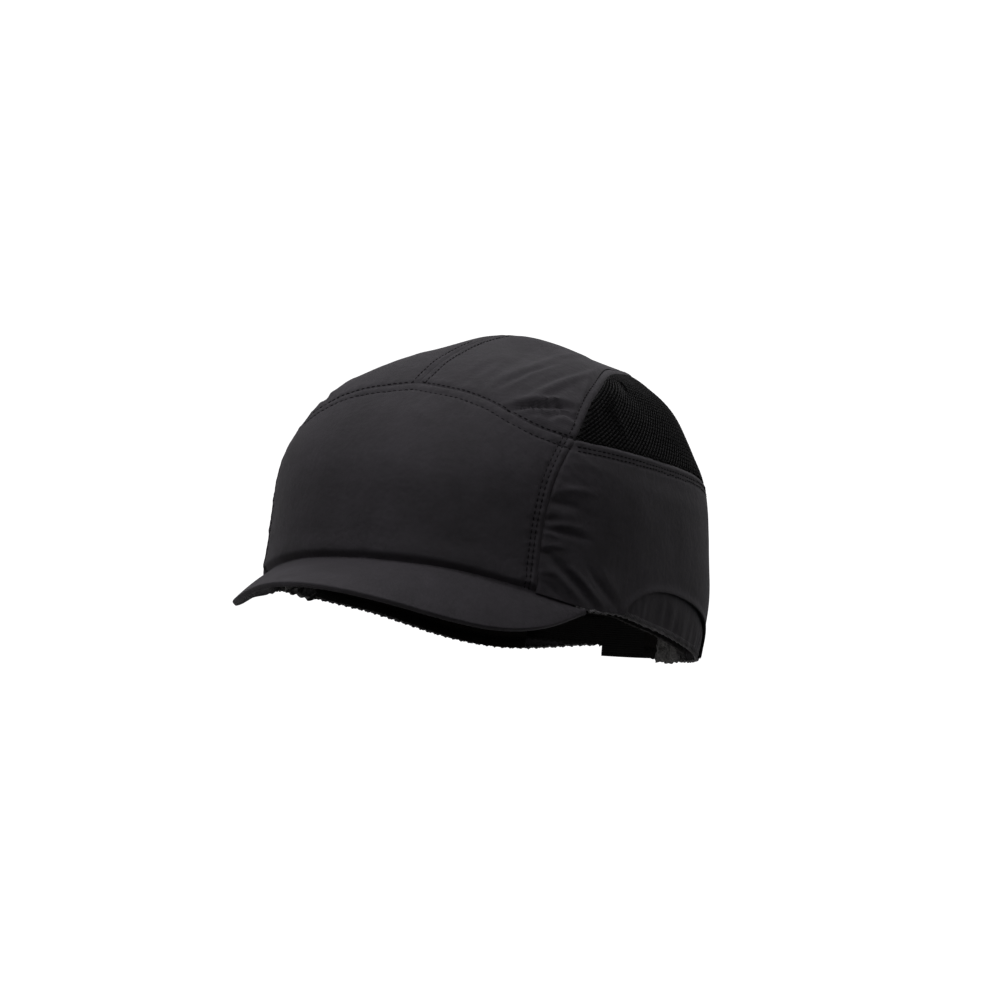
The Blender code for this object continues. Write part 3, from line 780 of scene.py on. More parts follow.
def add_side_panel(side, sign, look):
    across, share = lattice((0, 1, 260), (0, 1, 84))
    first = front_edge(share)
    degrees = first + (180 - first) * across
    low, high = side_foot(sign * degrees), round_curve(MESH_FOOT, degrees)
    z = low + (high - low) * share
    points = skin(sign * degrees, z)
    lift = cloth_drift(points)
    lift += seam_relief(points, side_seam_line(sign), (), 0.6, pucker=0.7, reach=9, wave=3.6, seed=21 + sign)
    lift += seam_relief(points, mesh_foot_line(sign), BAND_ROWS, 0.5, pucker=0.2, reach=6, wave=5, seed=22)
    lift += seam_relief(points, back_seam_line(), BACK_ROWS, 0.9, pucker=0.3, reach=8, wave=6, seed=23)
    lift += add_folds(points, SIDE_FOLDS, sign, 1 if sign > 0 else FAR_FOLDS)
    gap, _ = near(points, arch_line(sign))
    lift += 0.9 * bell(gap, 2.6) * smooth_step(gap, -1, 0.5)
    hem_gap = z - hem(sign * degrees)
    lift += 0.35 * ripple_at(degrees / 3.2, 0, 0, 24) * smooth_step(hem_gap, 9, 0)
    return sheet_on_skin(f"side_panel_cloth_{side}", sign * degrees, z, lift, CLOTH, look, "twill",
                         replaces=(f"side_panel_{side}",))


def fan(name, outer, tip, inner, inner_tip, look, slot, **more):
    """A closed sheet whose rows all run up to one point: half of the crown."""
    rows, columns = outer.shape[:2]
    size = rows * columns + 1
    top = grid_quads(rows, columns)
    index = np.arange(rows * columns).reshape(rows, columns)
    last = index[:, -1]
    cap = np.stack([last[:-1], last[1:], np.full(rows - 1, size - 1)], 1)
    rim = np.concatenate([index[:, 0], index[-1, 1:], [size - 1], index[0, :0:-1]])
    after = np.roll(rim, -1)
    side = np.stack([after, rim, size + rim, size + after], 1)
    quads = np.concatenate([top, size + top[:, ::-1], side])
    caps = np.concatenate([cap, size + cap[:, ::-1]])
    points = np.concatenate([outer.reshape(-1, 3), [tip], inner.reshape(-1, 3), [inner_tip]])
    uv = np.concatenate([cloth_uv(outer), [[0, 0]]])
    return make_mesh(name, points, quads, look, slot, triangles=caps, uv=np.concatenate([uv, uv]), **more)


def add_crown_panel(side, sign, look):
    path = mesh_top_path(150)
    front = spread(0, FRONT_EDGE_HIGH, 60)[:-1]
    behind = spread(path[-1, 0], 180, 14)[1:]
    outline = np.concatenate([np.stack([front, round_curve(FRONT_SEAM, front)], 1), path,
                              np.stack([behind, round_curve(MESH_FOOT, behind)], 1)])
    share = spread(0, 0.985, 64)[None]
    degrees = np.tile(outline[:, :1], (1, share.size))
    z = climb(degrees, outline[:, 1:], share)
    points, out = skin(sign * degrees, z), outwards(sign * degrees, z)
    middle = np.abs(points[..., 0])
    lift = cloth_drift(points)
    lift += seam_relief(points, front_seam_line(), CROWN_FRONT_ROWS, 0.7, pucker=0.7, reach=7, wave=3.2,
                        seed=31)
    lift += seam_relief(points, centre_seam_line(), CENTRE_ROWS, 0.7, pucker=0.3, reach=8, wave=6, seed=32)
    lift += seam_relief(points, crown_side_line(sign), CROWN_SIDE_ROWS, 0.7, pucker=0.5, reach=8, wave=6,
                        seed=33)
    lift += add_folds(points, CROWN_FOLDS, sign, 1 if sign > 0 else FAR_FOLDS) * smooth_step(middle, 0, 6)
    outer = points + out * lift[..., None]
    outer[..., 0] = sign * np.maximum(sign * outer[..., 0], HALVES_APART)
    inner = outer - out * CLOTH
    inner[..., 0] = sign * np.maximum(sign * inner[..., 0], HALVES_APART)
    tip = np.array([sign * HALVES_APART, APEX_SHIFT, SHOULDER_Z + DOME_HEIGHT - 0.4])
    if sign < 0:
        outer, inner = outer[::-1], inner[::-1]
    return fan(f"crown_panel_cloth_{side}", outer, tip, inner, tip - [0, 0, CLOTH], look, "twill",
               replaces=(f"crown_panel_{side}",))


MESH_RIDGE = ((92, 111), (80, 102), (75, 94), (78, 87), (80, 78))


def mesh_lift(points, sign):
    """The mesh sinks a little between its seams and stands proud over the shell's rib."""
    ridge = fold(points, [(sign * at, z) for at, z in MESH_RIDGE], 1.3, 3.2)
    edge, _ = near(points, np.concatenate([crown_side_line(sign), mesh_foot_line(sign)]))
    return ridge * smooth_step(edge, 0, 5) - 0.9 * smooth_step(edge, 0, 14) + 0.4 * perlin(points / 22, 41)


def add_mesh_backing(side, sign, look):
    path = mesh_top_path(160)[:-2]
    share = spread(0, 1, 40)[None]
    degrees = np.tile(path[:, :1], (1, share.size))
    low = round_curve(MESH_FOOT, degrees) - 1.5
    z = low + (path[:, 1:] + 1.0 - low) * share
    points = skin(sign * degrees, z)
    lift = mesh_lift(points, sign) * 0.8
    return sheet_on_skin(f"mesh_backing_{side}", sign * degrees, z, lift, 0.4, look, "mesh", depth=1.0)


def travelled(degrees, foot, z):
    """How far up the dome z is from foot, in the steps of `climb`."""
    return (dome_turn(degrees, z) - dome_turn(degrees, foot)) * DOME_REACH


NET_PITCH = 1.7
NET_STEP = 0.9  # between the points of a cord
NET_CORDS = {1: (0.46, 0.26, 0.06), -1: (0.42, 0.26, 0.0)}  # lean: (half width, half thickness, height)
NET_WEAVE = 0.16
NET_DEPTH = 0.45


def add_mesh_net(side, sign, look):
    """Two families of knitted cords that cross on the slant, each over and under the other."""
    spacing = NET_PITCH * math.sqrt(2)
    path = mesh_top_path(200)
    feet = round_curve(MESH_FOOT, path[:, 0])
    level = line_on_skin(path[:, 0], feet + 22)
    across_at = run_length(level)
    tall = travelled(path[:, 0], feet, path[:, 1])
    first_start = {1: -tall.max(), -1: 0.0}
    last_start = {1: across_at[-1], -1: across_at[-1] + tall.max()}
    points, quads, total = [], [], 0
    for lean, (half, thick, height) in NET_CORDS.items():
        for index, start in enumerate(np.arange(first_start[lean], last_start[lean], spacing)):
            x = np.arange(0, across_at[-1], NET_STEP)
            y = lean * (x - start)
            kept = np.flatnonzero((y > -0.4) & (y < np.interp(x, across_at, tall) + 0.4))
            for run in np.split(kept, np.flatnonzero(np.diff(kept) > 1) + 1):
                if len(run) < 3:
                    continue
                xs, ys = x[run], np.maximum(y[run], 0)
                degrees = np.interp(xs, across_at, path[:, 0])
                foot = round_curve(MESH_FOOT, degrees)
                z = climb(degrees, foot, ys / (travelled(degrees, foot, SHOULDER_Z + DOME_HEIGHT) + 1e-9))
                line, out = skin(sign * degrees, z), outwards(sign * degrees, z)
                crossing = (2 * xs - start - first_start[-lean]) / spacing + index
                weave = height + lean * NET_WEAVE * np.cos(math.pi * crossing)
                line = line + out * (weave + mesh_lift(line, sign) - NET_DEPTH)[:, None]
                side_way = unit(np.cross(out, unit(np.gradient(line, axis=0))))
                ring = [line + side_way * half * c + out * thick * s
                        for c, s in ((1, 0), (0, 1), (-1, 0), (0, -1))]
                points.append(np.stack(ring, 1).reshape(-1, 3))
                first = np.arange(len(line) - 1)[:, None] * 4 + total
                at, after = first + [0, 1, 2, 3], first + [1, 2, 3, 0]
                quads.append(np.stack([at, after, after + 4, at + 4], -1).reshape(-1, 4))
                end = total + 4 * (len(line) - 1)
                quads.append(np.array([total + np.array([3, 2, 1, 0]), end + np.array([0, 1, 2, 3])]))
                total = end + 4
    return make_mesh(f"mesh_net_{side}", np.concatenate(points), np.concatenate(quads), look, "mesh",
                     sharp=180, replaces=(f"mesh_panel_{side}",))


def add_gusset(side, sign, look):
    """The half-moon behind the ear, gathered along its hem."""
    at, share = lattice((ARCH[0][0] - 3, ARCH[-1][0] + 5, 260), (0, 1, 34))
    low = hem(sign * at) + 0.3 * np.sin(at * 2.4) + 0.2 * np.sin(at * 5.3)
    inside = np.clip(at, ARCH[0][0], ARCH[-1][0])
    high = np.maximum(curve(ARCH, inside) + hem_rise(sign * at), hem(sign * at)) + 5
    z = low + (high - low) * share
    gather = 0.5 * ripple_at(at / 2.3, share * 0.9, 0, 51)
    gather += 0.35 * ripple_at(at / 4.1, share * 1.3, 0.5, 52)
    lift = gather * smooth_step(share, 1.05, 0.2) + 0.6 * np.sin(np.pi * np.clip(share, 0, 1)) ** 0.8
    lift -= 0.5 * smooth_step(share, 0.5, 0.85)
    return sheet_on_skin(f"ear_gusset_cloth_{side}", sign * at, z, lift, CLOTH, look, "twill", depth=1.1,
                         replaces=(f"ear_gusset_{side}",))


def add_gusset_elastic(side, sign, look):
    """The elastic that gathers the gusset, on its inner face."""
    at, share = lattice((ARCH[0][0] + 2, ARCH[-1][0] - 7, 160), (0, 1, 10))
    z = hem(sign * at) + 1.2 + 6 * share
    ripple = 0.2 * np.sin(at * 4.0) + 0.15 * ripple_at(at / 2, 0, 0, 55)
    sheet_on_skin(f"gusset_elastic_band_{side}", sign * at, z, ripple, 0.8, look, "webbing", depth=2.9,
                  replaces=(f"gusset_elastic_{side}",))


# ---------------------------------------------------------------- the peak

PEAK_CLOTH = 0.6
PEAK_EDGE_R = 1.2
PEAK_EDGE_POWER = 0.5  # below 1 the rim's cross-section is squarer than a half circle
PEAK_CAMBER = 0.8
LOBE_RISE = 3.4  # the right lobe hangs less than the left
PEAK_TUCK = 3.8  # how far the peak runs in under the front panel


def peak_base(share):
    at = share * PEAK_REACH_DEG
    z = round_curve(HEM, at) - 0.5
    return skin(at, z) - outwards(at, z) * 1.0


# The rim's waves across (x), forward (y) and down (z): how large each is at 1, 3 and 5 times the half turn.
RIM_ACROSS, RIM_FORWARD, RIM_DOWN = 3.1, (101.4, 2.2), (11.3, -8, 1.2)


def peak_rim(share):
    """The free edge: a crescent whose two lobes hang lower than its middle."""
    u = share * math.pi / 2
    corner = skin(np.array(PEAK_REACH_DEG), round_curve(HEM, PEAK_REACH_DEG))
    x = (corner[0] - RIM_ACROSS) * np.sin(u) - RIM_ACROSS * np.sin(3 * u)
    y, z = (start - sum(size * np.cos((2 * k + 1) * u) for k, size in enumerate(sizes))
            for start, sizes in ((corner[1], RIM_FORWARD), (corner[2], RIM_DOWN)))
    z = z + LOBE_RISE * smooth_step(-share, 0.3, 0.72) * (1 - smooth_step(-share, 0.85, 1.0))
    return np.stack([x, y, z], -1)


def peak_grid(share, back, depth):
    """Points of the peak: `back` from its rim, as a share of its reach plus millimetres, and `depth` down."""
    base, rim = peak_base(share), peak_rim(share)
    step = 0.01
    across = sum(edge(share + step) - edge(share - step) for edge in (peak_rim, peak_base))
    up = unit(np.cross(across, base - rim))
    reach = np.linalg.norm(base - rim, axis=-1)
    inward = (base - rim) / reach[:, None]
    part, offset = np.array([b[0] for b in back]), np.array([b[1] for b in back])
    gone = np.minimum(part[None] * (reach[:, None] - PEAK_EDGE_R) + offset[None], reach[:, None] + PEAK_TUCK)
    camber = PEAK_CAMBER * np.sin(np.pi * np.clip(gone / reach[:, None], 0, 1))
    camber = camber + 0.5 * np.clip(gone - reach[:, None], 0, None)
    sunk = np.asarray(depth)[None] - camber
    return rim[:, None] + inward[:, None] * gone[..., None] - up[:, None] * sunk[..., None]


def add_peak(cloth_look, board_look):
    share = spread(-0.985, 0.985, 220)
    flat = [(1, PEAK_EDGE_R + PEAK_TUCK), (1, PEAK_EDGE_R + PEAK_TUCK / 2)]
    flat += [(k / 34, PEAK_EDGE_R) for k in range(34, 0, -1)]
    turns = spread(0, math.pi, 17)
    tuck = [(0, PEAK_EDGE_R + k * 1.2) for k in range(1, 5)]
    grids = []
    for inset in (0, PEAK_CLOTH):
        radius = PEAK_EDGE_R - inset
        rises = np.sign(np.cos(turns)) * np.abs(np.cos(turns)) ** PEAK_EDGE_POWER
        reaches = np.abs(np.sin(turns)) ** PEAK_EDGE_POWER
        depth = [inset] * len(flat) + list(PEAK_EDGE_R - radius * rises)
        depth += [2 * PEAK_EDGE_R - inset] * len(tuck)
        back = flat + [(0, PEAK_EDGE_R - radius * reach) for reach in reaches] + tuck
        grids.append(peak_grid(share, back[::-1], depth[::-1]))
    wave = 0.18 * perlin(grids[0] / 26, 61) + 0.06 * perlin(grids[0] / 8, 62)
    grids[0] = grids[0] + np.stack([0 * wave, 0 * wave, wave], -1)
    slab("peak_cloth_top", grids[0], grids[1], cloth_look, "twill", replaces=("peak_top_cover",))
    under = flat[:-2]
    low = peak_grid(share, under[::-1], [2 * PEAK_EDGE_R - 0.05] * len(under))
    high = peak_grid(share, under[::-1], [2 * PEAK_EDGE_R - 0.55] * len(under))
    slab("peak_cloth_under", high, low, cloth_look, "twill", replaces=("peak_under_cover",))
    board = flat[1:-2]
    inner_share = share * 0.985
    low = peak_grid(inner_share, board[::-1], [2 * PEAK_EDGE_R - 0.75] * len(board))
    high = peak_grid(inner_share, board[::-1], [0.75] * len(board))
    slab("peak_stiffener", high, low, board_look, "abs", replaces=("peak_board",))


# ---------------------------------------------------------------- inside the cap

def closed_band(name, degrees, section, look, slot, **more):
    """A solid band round the cap. `section` gives (depth, z) loops, one row for each angle, wound so that
    the surface faces out."""
    depth, z = section
    rows, columns = depth.shape
    at = np.tile(degrees[:, None], (1, columns))
    points = skin(at, z) - outwards(at, z) * depth[..., None]
    a = np.arange(rows - 1)[:, None] * columns + np.arange(columns)
    b = np.arange(rows - 1)[:, None] * columns + np.roll(np.arange(columns), -1)
    quads = np.stack([a, a + columns, b + columns, b], -1).reshape(-1, 4)
    fans = [[0, k, k + 1] for k in range(1, columns - 1)]
    last = (rows - 1) * columns
    fans += [[last, last + k + 1, last + k] for k in range(1, columns - 1)]
    gone = run_length(points[:, 0])
    ring = spread(0, 70, columns)
    uv = np.stack(np.meshgrid(gone, ring, indexing="ij"), -1).reshape(-1, 2)
    return make_mesh(name, points.reshape(-1, 3), quads, look, slot, triangles=np.array(fans), uv=uv, **more)


def pad_section(rows, outer, inner, low, high, columns=40, power=0.32):
    """A rounded cross-section between two depths and two heights, for each of `rows` angles."""
    turn = np.arange(columns) / columns * 2 * math.pi
    depth = (outer + inner) / 2 - (inner - outer) / 2 * np.sign(np.cos(turn)) * np.abs(np.cos(turn)) ** power
    rise = np.sign(np.sin(turn)) * np.abs(np.sin(turn)) ** power
    z = (low + high)[:, None] / 2 + (high - low)[:, None] / 2 * rise[None]
    return np.tile(depth, (rows, 1)), z


BAND_DROP, BAND_HEIGHT = 0.9, 32  # the sweatband's foot below the hem and its top above it
BAND_END_DEG, BAND_OUTER, BAND_INNER = 160, 6.2, 9.0
BAND_COLUMNS = 64
BAND_STITCHES_UP = (0.15, 0.9)  # the shares of its height where it is pinched
LINING_FROM_DEG, LINING_TO_DEG, LINING_HEIGHT = -130, 112, 5
# name, first and last degrees, outer and inner depth, foot, top, seed of its crumple
LINING_BUNCHES = (("lining_bunch_left", 115, 151, 9.0, 12.6, -11.4, 4.5, 83),
                  ("lining_bunch_right", -84, -58, 9.0, 12.0, 0.2, 9.5, 87))


def add_sweatband(face_look, thread):
    """The padded band: it swells between its seams and is pinched by two rows of stitches near its foot."""
    degrees = spread(-BAND_END_DEG, BAND_END_DEG, 420)
    low, high = hem(degrees) - BAND_DROP, hem(degrees) + BAND_HEIGHT - hem_rise(degrees)
    depth, z = pad_section(len(degrees), BAND_OUTER, BAND_INNER, low, high, BAND_COLUMNS)
    share = (z - low[:, None]) / (high - low)[:, None]
    inner = depth > (BAND_OUTER + BAND_INNER) / 2
    low_pinch, high_pinch = BAND_STITCHES_UP
    swell = 0.9 * np.sin(np.pi * np.clip((share - 0.16) / 0.84, 0, 1)) - 0.9 * bell(share - low_pinch, 0.035)
    swell -= 0.7 * bell(share - high_pinch, 0.03)
    loose = 0.35 * ripple_at(degrees[:, None] / 7, share * 3, 0, 71)
    depth = depth + np.where(inner, swell + loose, 0)
    ragged = ripple_at(degrees[:, None] / 0.9, depth / 2, 0, 72)
    z = z + 0.55 * ragged * bell(share, 0.05)
    band = closed_band("sweatband_face", degrees, (depth, z), face_look, "lining", replaces=("sweatband",))
    tree = surface_of(band, -1)
    rows = []
    for share_up in BAND_STITCHES_UP:
        at = spread(1 - BAND_END_DEG, BAND_END_DEG - 1, 400)
        height = hem(at) - BAND_DROP + (BAND_HEIGHT + BAND_DROP - hem_rise(at)) * share_up
        rows.append(line_on_skin(at, height, 9.6))
    stitches("sweatband_stitches", tree, rows, thread, pitch=3.4, length=2.4, radius=0.24)


def add_lining(look):
    """The grey towelling behind the sweatband, clear of where the straps slide."""
    degrees = spread(LINING_FROM_DEG, LINING_TO_DEG, 500)
    foot = hem(degrees) + 0.8
    depth, z = pad_section(len(degrees), 3.8, 6.0, foot, foot + LINING_HEIGHT, 20, power=0.6)
    closed_band("sweatband_lining", degrees, (depth, z), look, "lining")


def add_lining_bunch(name, first, last, outer, inner, foot, top, seed, look):
    """A stretch of the lining that hangs out below the sweatband, crumpled into folds both ways."""
    degrees = spread(first, last, 220)
    columns = 64
    level = 0 * degrees
    depth, z = pad_section(len(degrees), outer, inner, foot + level, top + level, columns, power=0.55)
    grid = np.tile(degrees[:, None], (1, columns))
    share = (z - foot) / (top - foot)
    taper = smooth_step(np.abs(2 * (grid - first) / (last - first) - 1), 1.02, 0.84)
    across = np.stack([grid / 2.7 + share * 1.9, share * 1.5, depth / 7], -1)
    crumple = 1.1 - 3 * np.abs(perlin(across, seed)) + 0.8 * perlin(across * [2.6, 2.4, 2], seed + 1)
    inward = smooth_step(depth, (outer + inner) / 2 - 1, inner)
    depth = depth + (crumple * 1.7 - 0.9) * inward * taper - (inner - outer - 1.2) * inward * (1 - taper)
    z = z + 2.4 * perlin(across * [0.9, 0.5, 1], seed + 2) * smooth_step(share, 0.7, 0) * taper
    z = z + 4.5 * (1 - taper) * smooth_step(share, 0.9, 0)
    closed_band(name, degrees, (depth, z), look, "lining")


def shell_foot(degrees):
    """The shell's edge, lower in front and behind than at the sides."""
    return 27 - 3 * np.cos(np.radians(2 * degrees))


VENT_DEPTH, VENT_CUT = 3.6, 9  # the middle of a vent's cutter under the skin, and how far it reaches each way


def slot_cutter_points(degrees, z, length, width, slant):
    """A round-ended bar through the shell, its long side turned by slant from upright."""
    at, height = np.array(float(degrees)), np.array(float(z))
    out = outwards(at, height)
    centre = skin(at, height) - out * VENT_DEPTH
    side = unit(np.cross([0, 0, 1], out))
    up = np.cross(out, side)
    turn = math.radians(slant)
    long_way = up * math.cos(turn) + side * math.sin(turn)
    wide_way = np.cross(long_way, out)
    corners, straight = 10, (length - width) / 2
    outline = []
    for end in (1, -1):
        for a in spread(0, math.pi, corners):
            long_by, wide_by = straight + width / 2 * math.sin(a), width / 2 * math.cos(a)
            outline.append(end * (long_way * long_by + wide_way * wide_by))
    outline = np.array(outline)
    n = len(outline)
    points = np.concatenate([centre + outline + out * VENT_CUT, centre + outline - out * VENT_CUT])
    faces = [list(range(n)), list(range(2 * n - 1, n - 1, -1))]
    faces += [[i, n + i, n + (i + 1) % n, (i + 1) % n] for i in range(n)]
    flat = np.cross(points[1] - points[0], points[2] - points[1])
    return points, (faces if flat @ out > 0 else [f[::-1] for f in faces])


SHELL_OUTER, SHELL_INNER = 2.6, 4.4  # depths of its two faces under the skin
VENTS = ((84, 84, 0), (100, 86, 0), (116, 86, 0), (132, 84, 0), (28, 88, 90), (60, 112, 90), (122, 116, 90))
VENT_SIZE = (22, 6)


def round_grid(around, shares):
    """Grids of angles all the way round and of these shares of the way up."""
    return np.meshgrid(np.arange(around) * 360.0 / around - 180, shares, indexing="ij")


def dome_solid(name, outer, inner, tip_depths, look, slot, **more):
    """A closed dome between two grids whose rows go all the way round, each closed by a point at the top."""
    around, rings = outer.shape[:2]
    size = around * rings + 1
    tips = [np.array([[0, APEX_SHIFT, SHOULDER_Z + DOME_HEIGHT - depth]]) for depth in tip_depths]
    points = np.concatenate([outer.reshape(-1, 3), tips[0], inner.reshape(-1, 3), tips[1]])
    low = np.arange(around) * rings
    after = np.roll(low, -1)
    a, b = (first[:, None] + np.arange(rings - 1) for first in (low, after))
    top = np.stack([a, b, b + 1, a + 1], -1).reshape(-1, 4)
    cap = np.stack([low + rings - 1, after + rings - 1, np.full(around, size - 1)], 1)
    lip = np.stack([after, low, size + low, size + after], 1)
    return make_mesh(name, points, np.concatenate([top, size + top[:, ::-1], lip]), look, slot,
                     triangles=np.concatenate([cap, size + cap[:, ::-1]]), **more)


def add_shell(look):
    """The moulded shell with its vents cut through and a thickened rim."""
    degrees, share = round_grid(200, spread(0, 1, 65)[:-1])
    z = climb(degrees, shell_foot(degrees), share)
    base, out = skin(degrees, z), outwards(degrees, z)
    rim = 0.6 * bell(share, 0.012)
    rib = 0.5 * bell(np.abs(base[..., 0]) - 14, 1.6) * smooth_step(share, 0.35, 0.5)
    inner = base - out * (SHELL_INNER + rim + rib)[..., None]
    shell = dome_solid("abs_shell_moulding", base - out * SHELL_OUTER, inner, (SHELL_OUTER, SHELL_INNER),
                       look, "abs", replaces=("abs_shell",))
    cutters, faces, total = [], [], 0
    for sign in (1, -1):
        for at, height, slant in VENTS:
            more_points, more_faces = slot_cutter_points(sign * at, height, *VENT_SIZE, slant)
            cutters.append(more_points)
            faces += [[i + total for i in f] for f in more_faces]
            total += len(more_points)
    data = bpy.data.meshes.new("vent_cutters")
    data.from_pydata(world(np.concatenate(cutters)).tolist(), [], faces)
    cutter = bpy.data.objects.new("vent_cutters", data)
    bpy.context.scene.collection.objects.link(cutter)
    cut = shell.modifiers.new("vents", "BOOLEAN")
    cut.operation, cut.solver, cut.object = "DIFFERENCE", "EXACT", cutter
    apply_modifiers(shell)
    bpy.data.objects.remove(cutter)
    whole = bmesh.new()
    whole.from_mesh(shell.data)
    bmesh.ops.dissolve_degenerate(whole, dist=1e-6, edges=whole.edges)
    whole.to_mesh(shell.data)
    whole.free()
    shell.data.shade_smooth()
    shell.data.set_sharp_from_angle(angle=math.radians(45))


def apply_modifiers(piece):
    graph = bpy.context.evaluated_depsgraph_get()
    done = bpy.data.meshes.new_from_object(piece.evaluated_get(graph))
    piece.modifiers.clear()
    piece.data = done


PAD_DEPTH, PAD_FOOT, PAD_TOP = 5.0, 56, 78
PADS = (("foam_pad_front", -34, 34), ("foam_pad_left", 62, 118), ("foam_pad_right", -118, -62),
        ("foam_pad_rear", 146, 214))  # with their first and last degrees
CROWN_PAD_DEPTH, CROWN_PAD_INNER, CROWN_PAD_FOOT = 5.1, 10.0, 119


def add_pad(name, look, low_deg, high_deg, low, high):
    """A foam pad: round corners, a crowned face and a pressed groove inside its edge."""
    a, b = lattice((-1, 1, 90), (-1, 1, 34))
    round_a, round_b = a * np.sqrt(1 - 0.16 * b**6), b * np.sqrt(1 - 0.45 * a**10)
    degrees = (low_deg + high_deg) / 2 + (high_deg - low_deg) / 2 * round_a
    z = (low + high) / 2 + (high - low) / 2 * round_b
    edge = np.maximum(np.abs(a) ** 12, np.abs(b) ** 6)
    swell = np.sqrt(np.clip(1 - edge, 0, 1))
    groove = bell(np.maximum(np.abs(a), np.abs(b) * 0.97) - 0.8, 0.03)
    thick = 0.6 + 4.2 * swell - 0.7 * groove
    base, out = skin(degrees, z), outwards(degrees, z)
    outer, inner = base - out * PAD_DEPTH, base - out * (PAD_DEPTH + thick)[..., None]
    pad = slab(f"{name}_foam", outer, inner, look, "foam", replaces=(name,))


def add_crown_pad(look):
    """The round pad in the top of the shell, pressed with two rings."""
    degrees, share = round_grid(120, spread(0, 1, 26))
    z = climb(degrees, CROWN_PAD_FOOT + 0 * degrees, share * 0.985)
    thick = 0.6 + 4.3 * np.sqrt(np.clip(1 - (1 - np.clip(share / 0.12, 0, 1)) ** 2, 0, 1))
    thick -= 0.7 * (bell(share - 0.3, 0.03) + bell(share - 0.62, 0.03))
    base, out = skin(degrees, z), outwards(degrees, z)
    inner = base - out * (CROWN_PAD_DEPTH + thick)[..., None]
    pad = dome_solid("foam_pad_crown_foam", base - out * CROWN_PAD_DEPTH, inner,
                     (CROWN_PAD_DEPTH, CROWN_PAD_INNER), look, "foam", replaces=("foam_pad_crown",))


def arc_band(name, outer_radius, thick, degrees, low, high, look, slot, ripple=0.0, **more):
    """A strap bent round the size adjuster's post, from straight back towards the wearer's left."""
    at, share = lattice((*degrees, 130), (0, 1, 22))
    a = np.radians(at)
    z = low + (high - low) * share + ripple * np.sin(a * outer_radius * 1.9) * (1 - share)
    soften = 0.35 * (1 - np.clip(1 - np.abs(share * 2 - 1) ** 8, 0, 1))
    grids = []
    for radius in (outer_radius - soften, outer_radius - thick + soften):
        grids.append(np.stack([radius * np.sin(a), ARC_CENTRE_Y + radius * np.cos(a), z], -1))
    return slab(name, grids[0][::-1], grids[1][::-1], look, slot, **more)


LOOP_RADIUS, PATCH_RADIUS, HOOK_RADIUS, STRAP_THICK = 89.6, 88.3, 87.4, 1.0
STRAP_TOP = 11.5


def add_straps(web, hooks, thread):
    loop = arc_band("loop_strap_tape", LOOP_RADIUS, STRAP_THICK, (-44, 26), -3.2, STRAP_TOP, web, "webbing",
                    ripple=0.35, replaces=("loop_strap",))
    hook = arc_band("hook_strap_tape", HOOK_RADIUS, STRAP_THICK, (3.2, 46), -8.6, STRAP_TOP, web, "webbing",
                    body="adjuster", replaces=("hook_strap",))
    arc_band("hook_patch_tape", PATCH_RADIUS, 0.6, (4.2, 26), -7.5, 9.5, hooks, "webbing", body="adjuster",
             replaces=("hook_patch",))
    for piece, outer_radius, ends, low, body in ((loop, LOOP_RADIUS, (-43, 25), -2.0, "cap"),
                                                 (hook, HOOK_RADIUS, (4.4, 45), -7.4, "adjuster")):
        a, radius = np.radians(spread(*ends, 160)), outer_radius - STRAP_THICK
        ring = [np.stack([radius * np.sin(a), ARC_CENTRE_Y + radius * np.cos(a), np.full(len(a), z)], 1)
                for z in (low, STRAP_TOP - 1.2)]
        stitches(f"{piece.name}_stitches", surface_of(piece, -1), ring, thread, body=body)


LABEL_FOOT, LABEL_HEIGHT, LABEL_DEPTH, LABEL_THICK = 2.5, 15.5, 10.1, 0.3


def add_label(look):
    at, share = lattice((126, 136, 30), (0, 1, 30))
    z = LABEL_FOOT + LABEL_HEIGHT * share
    curl = 0.525 * (1 - share) ** 2
    base, out = skin(at, z), outwards(at, z)
    outer = base - out * (LABEL_DEPTH + curl)[..., None]
    inner = outer - out * LABEL_THICK
    slab("care_label_blank", outer, inner, look, "label", replaces=("care_label",))


# ---------------------------------------------------------------- seams' stitches and edges

def add_stitches(front, sides, crowns, gussets, thread, serge):
    above, below = (0, -70, 130), (0, -110, 40)
    top_line = front_seam_line()
    centre = centre_seam_line()
    tree = surface_of(front)
    stitches("front_seam_stitches", tree, [beside(top_line, row, below) for row in FRONT_ROWS], thread)
    rows = [beside(side_seam_line(sign), row, (0, -105, 50)) for sign in (1, -1) for row in SIDE_FRONT_ROWS]
    stitches("side_seam_stitches", tree, rows, thread)
    for side, sign in (("left", 1), ("right", -1)):
        tree = surface_of(crowns[side])
        half = top_line[sign * top_line[:, 0] > 1]
        rows = [beside(half, row, above) for row in CROWN_FRONT_ROWS]
        rows += [centre + [sign * row, 0, 0] for row in CENTRE_ROWS]
        rows += [beside(crown_side_line(sign), row, (0, 20, 130)) for row in CROWN_SIDE_ROWS]
        stitches(f"crown_stitches_{side}", tree, rows, thread)
        tree = surface_of(sides[side])
        rows = [beside(mesh_foot_line(sign), row, (sign * 90, 10, 10)) for row in BAND_ROWS]
        rows += [back_seam_line() + [sign * row, 0, 0] for row in BACK_ROWS]
        stitches(f"side_band_stitches_{side}", tree, rows, thread)
        tree = surface_of(gussets[side])
        edge = hem_line(ARCH[0][0], ARCH[-1][0], sign, 0.6)
        stitches(f"gusset_overlock_{side}", tree, [edge + [0, 0, 0.8]], serge, pitch=1.15, length=2.6,
                 radius=0.22, slant=1.25)


HEM_CORD_ENDS = (62, 179.6)


